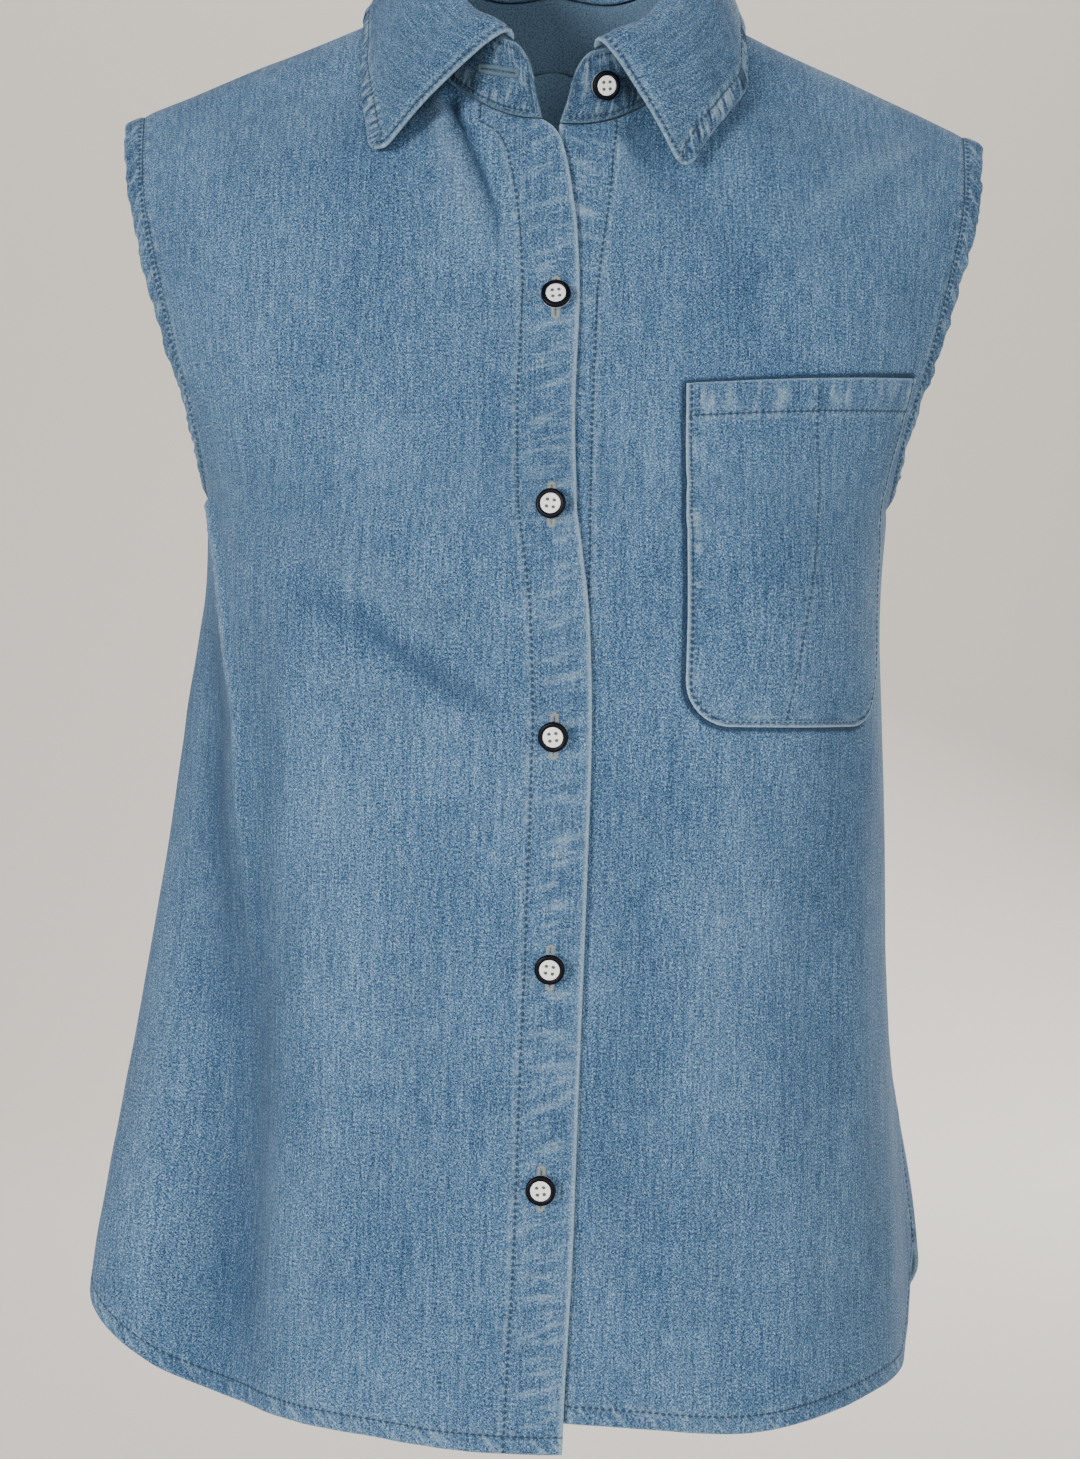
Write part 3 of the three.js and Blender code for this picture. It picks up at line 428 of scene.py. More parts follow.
# ---- shader maths: a wire is a socket that can be written in sums
class Wire:
    def __init__(self, tree, socket):
        self.tree, self.socket = tree, socket

    def math(self, operation, *values):
        node = self.tree.nodes.new("ShaderNodeMath")
        node.operation = operation
        for socket, value in zip(node.inputs, values):
            if isinstance(value, Wire):
                self.tree.links.new(value.socket, socket)
            else:
                socket.default_value = value
        return Wire(self.tree, node.outputs[0])

    def __add__(self, other): return self.math("ADD", self, other)
    def __radd__(self, other): return self.math("ADD", other, self)
    def __sub__(self, other): return self.math("SUBTRACT", self, other)
    def __rsub__(self, other): return self.math("SUBTRACT", other, self)
    def __mul__(self, other): return self.math("MULTIPLY", self, other)
    def __rmul__(self, other): return self.math("MULTIPLY", other, self)
    def __truediv__(self, other): return self.math("DIVIDE", self, other)
    def __neg__(self): return self.math("MULTIPLY", self, -1.0)
    def sine(self): return self.math("SINE", self)
    def clamped(self): return self.math("MINIMUM", self.math("MAXIMUM", self, 0.0), 1.0)
    def bell(self, width): return self.math("EXPONENT", self.math("MULTIPLY", self * self, -1 / width ** 2))


class Finish:
    def __init__(self, name):
        self.material = bpy.data.materials.new(name)
        self.material.use_nodes = True
        self.tree = self.material.node_tree
        self.tree.nodes.clear()

    def node(self, kind, settings=None, sockets=None, output=0):
        node = self.tree.nodes.new(kind)
        for key, value in (settings or {}).items():
            if key == "stops":
                ramp = node.color_ramp
                while len(ramp.elements) < len(value):
                    ramp.elements.new(0.5)
                for element, (place, colour) in zip(ramp.elements, value):
                    element.position, element.color = place, (*colour, 1)
            else:
                setattr(node, key, value)
        for key, value in (sockets or {}).items():
            if isinstance(value, Wire):
                self.tree.links.new(value.socket, node.inputs[key])
            else:
                node.inputs[key].default_value = value
        return Wire(self.tree, node.outputs[output]) if node.outputs else None

    def noise(self, place, scale, detail=2.0, roughness=0.5):
        stretched = self.node("ShaderNodeMapping", {}, {"Vector": place, "Scale": scale})
        return self.node("ShaderNodeTexNoise", {}, {
            "Vector": stretched, "Scale": 1.0, "Detail": detail, "Roughness": roughness})

    def reading(self, name):
        return self.node("ShaderNodeAttribute", {"attribute_name": name}, {}, 2)

    def mixed(self, share, first, second, blend="MIX"):
        return self.node("ShaderNodeMix", {"data_type": "RGBA", "blend_type": blend}, {
            0: share, 6: first, 7: second}, 2)

    def shader(self, sockets):
        surface = self.node("ShaderNodeBsdfPrincipled", {}, sockets)
        self.node("ShaderNodeOutputMaterial", {}, {"Surface": surface})
        return self.material


# ---- denim
denimLook = {
    "dark": (0.014, 0.036, 0.080), "mid": (0.056, 0.129, 0.236), "pale": (0.144, 0.250, 0.388),
    "white": (0.32, 0.45, 0.56), "shadow": (0.008, 0.024, 0.055), "reverse": (0.19, 0.29, 0.39),
    "roughness": 0.9, "sheen": 0.06, "sheenRoughness": 0.5,
}


def denim(name, seams=(), tint=1.0, gaps=()):
    # seams: attribute, stitch line, band, slant, pitch, worn edge, its width, puckers, ridge beyond the line, way
    f = Finish(name)
    place = f.node("ShaderNodeUVMap", {"uv_map": "cloth"})
    parts = f.node("ShaderNodeSeparateXYZ", {}, {0: place})
    across, along = parts, Wire(f.tree, parts.socket.node.outputs[1])
    cloud = f.noise(place, (17, 12, 1), 3, 0.55)
    streak = f.noise(place, (420, 14, 1), 2, 0.5)
    slub = f.noise(place, (900, 110, 1), 2, 0.5)
    fleck = f.noise(place, (1250, 950, 1), 1.5, 0.62)
    grain = f.noise(place, (2300, 2000, 1), 0, 0.5)
    twill = (across * 5200.0 + along * 4300.0 + (slub - 0.5) * 5.0).sine()
    tone = 0.46 + (fleck - 0.5) * 1.7 + (grain - 0.5) * 1.1 + (slub - 0.5) * 0.66
    tone = tone + (streak - 0.5) * 0.34 + (cloud - 0.5) * 0.4 + twill * 0.05
    worn, fadingAndCreaseShade, shade, height = 0.0, 0.0, 0.0, 0.0
    for attribute, line, band, slant, pitch, wornEdge, edgeWidth, puckers, ridge, way in seams:
        away = f.reading(attribute)
        if way == "along":
            lean = f.node("ShaderNodeCombineXYZ", {}, {0: across * 260.0, 1: along * 1000.0 + away * slant})
        else:
            lean = f.node("ShaderNodeCombineXYZ", {}, {0: across * 1000.0 + away * slant, 1: along * 260.0})
        rope = (f.noise(lean, (1 / pitch, 1 / pitch, 1), 2, 0.6) - 0.5) * 3.6
        inBand = (away - band * 0.55).bell(band * 0.5)
        fadingAndCreaseShade = fadingAndCreaseShade + inBand * rope * (2.4 * puckers)
        worn = worn + away.bell(edgeWidth) * wornEdge
        fadingAndCreaseShade = fadingAndCreaseShade + (away - line - 1.9).bell(1.0) * (rope * 0.9 + 0.6) * ridge
        turnOf = across * 2244.0 if way == "across" else along * 2244.0  # one stitch each 2.8 mm
        dash = turnOf.sine()
        sewn = (away - line).bell(0.8)
        shade = shade + sewn * (dash * 0.5 + 0.58)
        worn = worn + sewn * (dash * -0.42).clamped()
        height = height + inBand * rope * (0.42 * puckers)
    tones = [(0.08, "dark"), (0.44, "mid"), (0.74, "pale"), (1.0, "white")]
    stops = [(place, denimLook[name]) for place, name in tones]
    base = f.node("ShaderNodeValToRGB", {"stops": stops}, {0: tone})
    # gaps: painted shadow in a line at a given distance on an attribute (attribute, distance, width, strength)
    for attribute, line, width, strength in gaps:
        shade = shade + (f.reading(attribute) - line).bell(width) * strength
    # the creases' painted shade and painted highlight join the fading
    fadingAndCreaseShade = fadingAndCreaseShade + f.reading("folded")
    if seams:
        worn = (worn * (0.8 + (fleck - 0.5) * 0.9)).clamped()
        # paler where faded and where a crease has its painted highlight; darker where the seam mottling is below
        # zero and in the creases' painted shade
        base = f.mixed((fadingAndCreaseShade * (0.9 + (fleck - 0.5) * 1.6)).clamped() * 0.62, base, (*denimLook["white"], 1))
        base = f.mixed((fadingAndCreaseShade * -0.5).clamped(), base, (*denimLook["dark"], 1))
        base = f.mixed(worn, base, (*denimLook["white"], 1))
        base = f.mixed(shade.clamped() * 0.8, base, (*denimLook["shadow"], 1))
    speck = ((fleck - 0.42) * 3.6 + (grain - 0.5) * 2.0).clamped()
    reverse = f.mixed(speck, (*denimLook["reverse"], 1), (*denimLook["mid"], 1))
    colour = f.mixed(f.reading("inside").clamped(), base, reverse)
    if tint < 1:
        colour = f.mixed(1.0, colour, (tint, tint, tint, 1), "MULTIPLY")
    weave = (fleck * 0.6 + grain * 0.45 + twill * 0.1 + slub * 0.3) * 0.26 + height
    bump = f.node("ShaderNodeBump", {}, {"Strength": 1.0, "Distance": 0.001, "Height": weave})
    return f.shader({
        "Base Color": colour, "Roughness": denimLook["roughness"], "Normal": bump,
        "Sheen Weight": denimLook["sheen"], "Sheen Roughness": denimLook["sheenRoughness"],
        "Specular IOR Level": 0.2})


def plainFinish(name, colour, roughness, coat=0.0, specular=0.5):
    f = Finish(name)
    place = f.node("ShaderNodeTexCoord", {}, {}, 3)
    cloud = f.noise(place, (260, 260, 260), 3, 0.6)
    shadeOf = f.mixed(cloud * 0.35, (*colour, 1), tuple(c * 0.72 for c in colour) + (1,))
    return f.shader({
        "Base Color": shadeOf, "Roughness": roughness + (cloud - 0.5) * 0.1,
        "Coat Weight": coat, "Specular IOR Level": specular})


# ---- panels
panelMesh = {"column": 2.2, "row": 2.0, "placketColumn": 1.4, "hemRow": 1.0, "neckColumns": 26, "topRow": 2.1}
backMesh = {**panelMesh, "column": 3.1, "row": 2.3, "neckColumns": 18, "topRow": 2.5}  # the widest piece is coarser
neckShares = np.linspace(0, 1, 4001)
neckPlan = planAt(neckShares, np.full(neckShares.shape, vShoulder))[0][:, 0]
neckU = np.interp(garment["neckHalf"], neckPlan, neckShares)


def neckV(u, vMiddle):
    return vShoulder + (vMiddle - vShoulder) * np.sqrt(np.clip(1 - np.square(np.minimum(u / neckU, 1)), 0, 1))


def sideEnd(v):
    return 1 - 0.02 / spanAt(v)


def layered(distance, width):
    return lerp(garment["foldedWall"], garment["wall"], ramp(distance, width, width + garment["foldStep"]))


def lapLevel(over, fromEdge):
    level = garment["seamGap"] / 2 + garment["foldLevel"] if over else -garment["seamGap"] / 2
    past = ramp(fromEdge, garment["placket"], garment["placket"] + garment["lapEase"])
    return lerp(level, garment["clothLevel"], past)


def panelRows(kind, u, vTop, behind):  # rows of every column: their v and height over the hem
    mesh = backMesh if behind else panelMesh
    rise = through(*zip(*hemRise[kind]))
    low = hemLow[kind] + rise(np.clip(np.abs(u), 0, 1))
    hem = np.concatenate([edgeStops, spaced(1.6, garment["hem"] + 3, mesh["hemRow"])])
    foot = -216
    shares = spaced(0, 1, mesh["row"] / 380)[1:]
    upper = spaced(0, 1, mesh["topRow"] / 290)[1:]
    upper = np.concatenate([upper[:-1], 1 - edgeStops[::-1][:-1] / 290, [1]])
    vFoot = vBackUnderarm if behind else vUnderarm
    heights = np.concatenate([low[None] + hem[:, None], lerp((low + hem[-1])[None], foot, shares[:, None])])
    lower = vAtHeight(heights, behind)
    higher = lerp(vFoot, vTop[None], upper[:, None])
    overHem = np.concatenate([heights - low, 400 + 0 * higher])
    return np.concatenate([lower, higher]), overHem


def topsBeside(span, column):  # where the columns beside the neck end, as shares of the half width
    return np.concatenate([spaced(neckU, 1 - 1.6 / span, column / span)[1:], 1 - edgeStops[::-1] / span])


def roping(along, away, seed, pitch, slant):
    lean = along + slant * away
    return wobble(lean / pitch, seed) + 0.5 * wobble(lean / (pitch * 0.45), seed + 9)


def sewnRelief(fromEdge, overHem, fromSide, along, across, seed, front):
    out = -0.32 * bell((overHem - garment["hem"] + 0.6) / 0.9)  # hem stitches pull the cloth in
    out += 0.34 * bell((overHem - 3.8) / 3.4) * roping(across, overHem, seed, 7.5, 0.7)
    out += -0.3 * bell(fromSide / 1.6)
    out += 0.22 * bell((fromSide - 5) / 4) * roping(along, fromSide, seed + 2, 10, 0.3)
    if front:
        out += -0.3 * bell((fromEdge - garment["placket"] + 0.7) / 1.0)
        band = ramp(fromEdge, 1.5, 6) * (1 - ramp(fromEdge, 23, 31))
        out += 0.3 * band * roping(along, fromEdge, seed + 4, 13, 0.25)
        out += 0.22 * bell((fromEdge - garment["placket"]) / 3.5) * wobble(along / 4.2, seed + 5)
    return out


pocketSet = {
    "left": 55, "right": 170, "top": -167, "bottom": -309, "corner": 19, "farCorner": 30, "band": 14, "slant": 10,
    "over": 0.6, "inset": 2.1,
}


def outsidePocket(across, height):  # how far a place lies outside the pocket's outline
    s = pocketSet
    slant = s["slant"] * (across - s["left"]) / (s["right"] - s["left"])
    midX, midZ = (s["left"] + s["right"]) / 2, (s["top"] + slant + s["bottom"]) / 2
    corner = np.where(height < midZ, np.where(across < midX, s["corner"], s["farCorner"]), 0.5)
    overX = np.abs(across - midX) - (s["right"] - s["left"]) / 2 + corner
    overZ = np.abs(height - midZ) - (s["top"] + slant - s["bottom"]) / 2 + corner
    return np.hypot(np.maximum(overX, 0), np.maximum(overZ, 0)) + np.minimum(np.maximum(overX, overZ), 0) - corner


panels = {}


def frontPanel(name, kind, side, edges, over, seed, node, material):
    past = through([e[0] for e in edges], [e[1] for e in edges]) if edges[0][0] < edges[-1][0] else None
    middleAt = lambda v: np.interp(v, vTable, middleTable)
    startAt = lambda v: -past(middleAt(v)) / spanAt(v)
    bandEnd = garment["placket"] + garment["foldStep"]
    wideFrom = lambda v: startAt(v) + bandEnd / spanAt(v)
    topStart = wideFrom(np.array(vShoulder))
    placket = np.concatenate([edgeStops, spaced(1.4, bandEnd, panelMesh["placketColumn"])])
    angles = np.linspace(math.asin(topStart / neckU), math.pi / 2, panelMesh["neckColumns"] + 1)[1:]
    span = float(spanAt(vShoulder))
    sideTops = topsBeside(span, panelMesh["column"])
    tops = np.concatenate([neckU * np.sin(angles), sideTops])
    share = (tops - topStart) / (1 - topStart)

    def columnU(v):  # v: rows by columns
        narrow = startAt(v[:, : len(placket)]) + placket / spanAt(v[:, : len(placket)])
        wide = v[:, len(placket):]
        return np.concatenate([narrow, lerp(wideFrom(wide), sideEnd(wide), share)], 1)

    uTop = np.concatenate([startAt(np.array(vShoulder)) + placket / span, tops])
    vTop = np.minimum(neckV(np.maximum(uTop, 0), vFrontNeck), vShoulder - 0.02)
    uFoot = columnU(np.full((1, len(uTop)), vUnderarm))[0]
    v, overHem = panelRows(kind, uFoot, vTop, False)
    u = columnU(v)
    fromEdge = (u - startAt(v)) * spanAt(v)
    fromSide = (sideEnd(v) - u) * spanAt(v)
    fromTop = vTop[None] - v
    wall = np.maximum(layered(fromEdge, garment["placket"]), layered(overHem, garment["hem"]))
    place = clothAt(side, u, v)
    normal = unit(np.cross(np.gradient(place, axis=1), np.gradient(place, axis=0)))
    normal *= np.sign((normal * normalAt(side, u[::40, ::30], v[::40, ::30]).mean((0, 1))).sum())
    distance = side * u * spanAt(v)
    laid, paint = creased("front", distance, place[..., 2])
    relief = laid + softness(distance, place[..., 2], seed)
    relief *= ramp(fromSide, 0, 12) * lerp(0.35, 1, ramp(fromEdge, 0, 34)) * ramp(fromTop, 0, 5)
    relief += sewnRelief(fromEdge, overHem, fromSide, v, distance, seed, True)
    middle = place + normal * (lapLevel(over, fromEdge) - wall / 2 + relief)[..., None]
    half = wall / 2
    border = np.minimum(np.minimum(fromEdge, overHem), np.minimum(fromSide, fromTop))
    half = half * edgeRound(np.maximum(border, 0), half)
    half[0], half[-1], half[:, 0], half[:, -1] = 0, 0, 0, 0
    cover = np.stack([distance, v], -1)
    marks = {
        "fromEdge": fromEdge, "overHem": overHem, "fromSide": fromSide,
        "fromPocket": outsidePocket(distance, place[..., 2]) if kind == "left" else 0 * u + 99,
        # folded: the creases' painted shade and painted highlight, kept off the side and the placket
        "folded": paint * ramp(fromSide, 0, 12) * ramp(fromEdge, 23, 30),
    }
    piece, outer, normals = clothPiece(name, middle, half, cover, marks, material, [node], normal)
    area = areaOf(middle)
    panels[kind] = {
        "outer": outer, "normals": normals, "middle": middle, "fromEdge": fromEdge, "overHem": overHem,
        "fromSide": fromSide, "neck": middle[-1, uTop <= neckU + 1e-6],
        "neckNormals": normal[-1, uTop <= neckU + 1e-6],
    }
    print(name, len(piece.data.vertices), "points,", round(area, 4), "m2")
    return piece


def backPanel(material):
    span = float(spanAt(vShoulder))
    angles = np.linspace(0, math.pi / 2, 2 * backMesh["neckColumns"] + 1)[1:]
    sideTops = topsBeside(span, backMesh["column"])
    halfTops = np.concatenate([neckU * np.sin(angles), sideTops])
    tops = np.concatenate([-halfTops[::-1], [0], halfTops])
    vTop = np.maximum(neckV(np.abs(tops), vBackNeck), vShoulder + 0.02)
    v, overHem = panelRows("back", tops, vTop, True)
    u = tops * sideEnd(v)
    place = clothAt(1, u, v)
    normal = unit(np.cross(np.gradient(place, axis=1), np.gradient(place, axis=0)))
    normal *= np.sign(normal[..., 1].sum())
    fromSide = (sideEnd(v) - np.abs(u)) * spanAt(v)
    fromTop = v - vTop[None]
    distance = u * spanAt(v)
    wall = layered(overHem, garment["hem"])
    laid, paint = creased("back", distance, place[..., 2])
    relief = laid + softness(distance, place[..., 2], 71)
    relief *= ramp(fromSide, 0, 12) * ramp(fromTop, 0, 14)
    relief += sewnRelief(0 * v, overHem, fromSide, v, distance, 73, False)
    middle = place + normal * (garment["clothLevel"] - wall / 2 + relief)[..., None]
    border = np.minimum(overHem, np.minimum(fromSide, fromTop))
    thick = wall / 2 * edgeRound(np.maximum(border, 0), wall / 2)
    thick[0], thick[-1], thick[:, 0], thick[:, -1] = 0, 0, 0, 0
    cover = np.stack([distance, v], -1)
    # folded: the creases' painted shade and painted highlight
    marks = {"overHem": overHem, "fromSide": fromSide, "folded": paint}
    piece, outer, normals = clothPiece("back_cloth", middle, thick, cover, marks, material, ["back"], normal)
    area = areaOf(middle)
    neck = np.abs(tops) < neckU - 1e-6
    panels["back"] = {
        "outer": outer, "normals": normals, "middle": middle, "overHem": overHem, "fromSide": fromSide,
        "neck": middle[-1, neck], "neckNormals": normal[-1, neck],
    }
    print("back_cloth", len(piece.data.vertices), "points,", round(area, 4), "m2")
    return piece


panelSeams = [
    ("fromEdge", 24.3, 20, 0.25, 4.4, 0.95, 1.5, 0.42, 0.42, "along"),
    ("overHem", 7.4, 8, 0.9, 3.4, 0.3, 0.7, 0.45, 0.2, "across"),
    ("fromSide", 0.5, 5, 0.3, 6.0, 0.0, 1.0, 0.22, 0.3, "along"),
]
# a painted shadow in a thin line just outside the pocket's outline on the left front
pocketShadow = ("fromPocket", 0.7, 1.4, 1.5)
frontDenim = denim("front_denim", panelSeams, 1.0, [pocketShadow])
backDenim = denim("back_denim", panelSeams[1:])
frontPanel("front_right_cloth", "right", -1, rightEdge, True, 11, "front_right", frontDenim)
frontPanel("front_left_cloth", "left", 1, leftEdge, False, 31, "front_left", frontDenim)
backPanel(backDenim)
print("panels made")

# ---- collar stand and collar
collarSet = {
    "standBack": 34, "standFront": 30, "corner": 13, "slant": 6, "inward": 0.24, "forward": 0.3, "layer": 2.2,
    "set": 16, "roll": 7, "rise": 0.6, "step": 1.6, "rows": 22, "fallRows": 50, "tip": 12.0,
}
# along the collar's length, x and y of its outer edge, and its lift over the cloth
collarEdge = [
    (0, -79, -70, 4), (0.07, -83, -54, 4), (0.16, -85, -36, 4), (0.26, -85, -14, 4), (0.34, -83, 8, 4),
    (0.42, -66, 36, 4), (0.46, -40, 56, 4), (0.5, 0, 67, 4), (0.54, 40, 56, 4), (0.58, 66, 36, 4),
    (0.66, 79, 8, 4), (0.74, 82, -14, 4), (0.84, 82, -36, 5), (0.93, 71, -57, 6), (1, 54, -75, 7),
]


def resampled(points, step):
    lengths = np.concatenate([[0], np.cumsum(np.linalg.norm(np.diff(points[:, :3], axis=0), axis=1))])
    at = np.linspace(0, lengths[-1], int(lengths[-1] / step) + 1)
    return np.stack([np.interp(at, lengths, points[:, i]) for i in range(points.shape[1])], 1), at


def eased(values, times, closed=False):
    for _ in range(times):
        if closed:
            values = (np.roll(values, 1, 0) + np.roll(values, -1, 0)) / 4 + values / 2
        else:
            values[1:-1] = (values[:-2] + values[2:]) / 4 + values[1:-1] / 2
    return values


neckPoints = np.concatenate([panels["right"]["neck"], panels["back"]["neck"], panels["left"]["neck"][::-1]])
neckNormals = np.concatenate([
    panels["right"]["neckNormals"], panels["back"]["neckNormals"], panels["left"]["neckNormals"][::-1]])
neckLine, neckAt = resampled(np.concatenate([neckPoints, neckNormals], 1), collarSet["step"])
neckLine = eased(neckLine, 12)
seamLength = neckAt[-1]
seamPoint, seamNormal = neckLine[:, :3], unit(neckLine[:, 3:])


def standTall(fromEnd):  # the stand's height, with its round corner
    corner = collarSet["corner"]
    full = lerp(collarSet["standFront"], collarSet["standBack"], ramp(fromEnd, 0, seamLength / 2))
    short = corner - np.minimum(fromEnd, corner)
    return full - corner + np.sqrt(np.maximum(corner ** 2 - short ** 2, 0))


def standFrame():
    s = collarSet
    along = unit(np.gradient(seamPoint, axis=0))
    out = unit(np.stack([-along[:, 1], along[:, 0], 0 * along[:, 0]], 1))
    up = unit(np.stack([-out[:, 0] * s["inward"], 0 * out[:, 0] - s["forward"], 0 * out[:, 0] + 1], 1))
    face = unit(np.cross(up, along))
    away = unit(np.cross(along, seamNormal))
    clear = 0.3 + s["layer"] / 2 * np.abs((face * away).sum(1)) + garment["clothLevel"]
    fromEnd = np.minimum(neckAt, seamLength - neckAt)
    height = standTall(fromEnd)
    base = eased(seamPoint + away * (clear - 0.9)[:, None], 6)
    return base, up, out, height


standBase, standUp, standOut, standHeight = standFrame()
standTop = standBase + standUp * standHeight[:, None]


def at(distance, values):
    return np.stack([np.interp(distance, neckAt, values[:, i]) for i in range(values.shape[1])], -1)


def standPiece(material):
    rows = np.concatenate([edgeStops / 30, spaced(0.05, 0.95, 1.0 / collarSet["rows"]), 1 - edgeStops[::-1] / 30])
    inner = spaced(1.6, seamLength - 1.6, collarSet["step"])
    stops = np.concatenate([edgeStops, inner, seamLength - edgeStops[::-1]])
    fromEnd = np.minimum(stops, seamLength - stops)
    shift = collarSet["slant"] * (1 - ramp(fromEnd, 0, 26)) * np.sign(seamLength / 2 - stops)
    placed = stops + shift * rows[:, None]
    base, up, out = at(placed, standBase), unit(at(placed, standUp)), unit(at(placed, standOut))
    height = standTall(fromEnd)
    middle = base + up * (rows[:, None] * height)[..., None]
    low, high = rows[:, None] * height, (1 - rows[:, None]) * height
    ends = np.broadcast_to(fromEnd, low.shape)
    border = np.minimum(np.minimum(low, high), ends)
    along = np.broadcast_to(stops, low.shape)
    relief = -0.34 * bell((border - 2.6) / 0.9) + 0.4 * roping(along, low, 51, 6.5, 0.15) * ramp(border, 0.5, 5)
    face = unit(np.cross(np.gradient(middle, axis=1), np.gradient(middle, axis=0)))
    face *= np.sign((face * out).sum())
    middle = middle + face * relief[..., None]
    half = collarSet["layer"] / 2 * edgeRound(border, collarSet["layer"] / 2)
    half[0], half[-1], half[:, 0], half[:, -1] = 0, 0, 0, 0
    cover = np.stack([low, along], -1)
    marks = {"fromBorder": border, "fromEdge": ends, "fromSide": high}
    piece, outer, normals = clothPiece(
        "collar_stand_cloth", middle, half, cover, marks, material, ["collar_stand"], face)
    min(areaOf(middle), 0.48 * 0.036)
    panels["stand"] = {"outer": outer, "normals": normals, "stops": stops, "height": height, "rows": rows}
    return piece


def clothAbove(x, y):  # the place on the cloth over a point of the plan, near the neck
    side = np.where(x < 0, -1, 1)
    u = np.clip(np.abs(x) / spanAt(vShoulder), 0, 1)
    v = np.where(y > 4, (vShoulder + vBackNeck) / 2, (vShoulder + vFrontNeck) / 2)
    for _ in range(30):
        here = clothAt(side, u, v)
        du = (clothAt(side, u + 0.002, v) - here) / 0.002
        dv = (clothAt(side, u, v + 0.5) - here) / 0.5
        missX, missY = x - here[..., 0], y - here[..., 1]
        size = du[..., 0] * dv[..., 1] - dv[..., 0] * du[..., 1]
        u = np.clip(u + 0.7 * (missX * dv[..., 1] - missY * dv[..., 0]) / size, 0, 1)
        step = np.clip(0.7 * (missY * du[..., 0] - missX * du[..., 1]) / size, -20, 20)
        v = np.clip(v + step, vUnderarm, vBackUnderarm)
    return clothAt(side, u, v), normalAt(side, u, v)


def collarPiece(material):
    s = collarSet
    stops = np.concatenate([
        s["set"] + edgeStops, spaced(s["set"] + 1.5, seamLength - s["set"] - 1.5, 1.15),
        seamLength - s["set"] - edgeStops[::-1]])
    along = (stops - s["set"]) / (seamLength - 2 * s["set"])
    table = np.array(collarEdge)
    edgeX, edgeY, lift = (through(table[:, 0], table[:, i])(along) for i in (1, 2, 3))
    up, out = unit(at(stops, standUp)), unit(at(stops, standOut))
    start = at(stops, standTop) + up * s["rise"]
    roll = start + up * s["roll"] + out * s["roll"] / 2
    below, normal = clothAbove(edgeX, edgeY)
    below, normal = eased(below, 8), unit(eased(normal, 8))
    end = below + normal * lift[:, None]
    lean = (roll + end) / 2 + normal * s["roll"]
    points = [p[None] for p in (start, start + up * 2 * s["roll"], lean, end)]
    fine = np.linspace(0, 1, 121)
    curve = bezier(points, np.broadcast_to(fine[:, None], (121, len(stops))))[0]
    lengths = np.cumsum(np.linalg.norm(np.diff(curve, axis=0), axis=-1), axis=0)
    lengths = np.concatenate([np.zeros((1, len(stops))), lengths])
    total = lengths[-1]
    shares = np.concatenate([[0], spaced(0.02, 0.965, 1 / s["fallRows"]), [1]])
    rows = np.concatenate([shares[:-1][:, None] * total, total - edgeStops[::-1][:, None] - 0 * total])
    column = lambda j: np.stack([np.interp(rows[:, j], lengths[:, j], curve[:, j, k]) for k in range(3)], -1)
    middle = np.stack([column(j) for j in range(len(stops))], 1)
    fromHem = total - rows
    ends = np.broadcast_to(np.minimum(stops - s["set"], seamLength - s["set"] - stops), rows.shape)
    # the ends slant, so the true distance from them is less than along the seam
    reach = np.linalg.norm(np.diff(middle, axis=1), axis=-1)
    reach = np.concatenate([np.zeros((len(rows), 1)), np.cumsum(reach, axis=1)], 1)
    ends = np.minimum(reach, reach[:, -1:] - reach)
    for half in (slice(0, len(stops) // 2), slice(len(stops) // 2, None)):  # round points
        radius, a, b = s["tip"], ends[:, half], fromHem[:, half]
        nearest = np.unravel_index(np.argmin(np.hypot(a - radius, b - radius)), a.shape)
        pull = np.maximum(np.abs(radius - a), np.abs(radius - b))
        pull = pull / np.maximum(np.hypot(radius - a, radius - b), 1e-6)
        pull = np.where((a < radius) & (b < radius), pull, 1)[..., None]
        centre = middle[:, half][nearest]
        middle[:, half] = centre + (middle[:, half] - centre) * pull
    border = np.minimum(fromHem, ends)
    place = np.broadcast_to(stops, rows.shape)
    relief = -0.36 * bell((fromHem - 7.6) / 1.0) * ramp(ends, 3, 7)
    relief += 0.8 * bell((fromHem - 4) / 3.4) * roping(place, fromHem, 61, 4.4, 0.5)
    relief += 0.55 * roping(place, fromHem, 63, 11, 0.4) * ramp(fromHem, 5, 12)
    relief += 1.6 * bell((ends - 9) / 8) * ramp(fromHem, 6, 30)  # the front edges roll under
    relief += -0.25 * bell((ends - 2.2) / 0.8) * ramp(fromHem, 2, 6)
    face = unit(np.cross(np.gradient(middle, axis=1), np.gradient(middle, axis=0)))
    face *= np.sign((face[-4:] * normal[None]).sum())
    middle = middle + face * relief[..., None]
    half = s["layer"] / 2 * edgeRound(np.minimum(border, rows + 0.4), s["layer"] / 2)
    half[0], half[-1], half[:, 0], half[:, -1] = 0, 0, 0, 0
    cover = np.stack([rows, place], -1)
    marks = {"fromHem": fromHem, "fromEnds": ends, "fromRoll": rows}
    piece, outer, normals = clothPiece("collar_cloth", middle, half, cover, marks, material, ["collar"], face)
    min(areaOf(middle), 0.46 * 0.085)
    panels["collar"] = {"outer": outer, "normals": normals, "fromHem": fromHem, "ends": ends}
    print("collar", len(piece.data.vertices), "points", round(areaOf(middle), 4))
    return piece


collarDenim = denim("collar_denim", [
    ("fromHem", 7.6, 8.5, 0.5, 3.2, 0.6, 0.8, 1.5, 0.3, "along"),
    ("fromEnds", 2.4, 2.6, 0.5, 2.2, 0.7, 0.8, 0.4, 0.5, "across"),
    ("fromRoll", -9, 9, 0.3, 7.0, 0.2, 3.0, 0.14, 0.0, "along")], 0.93)
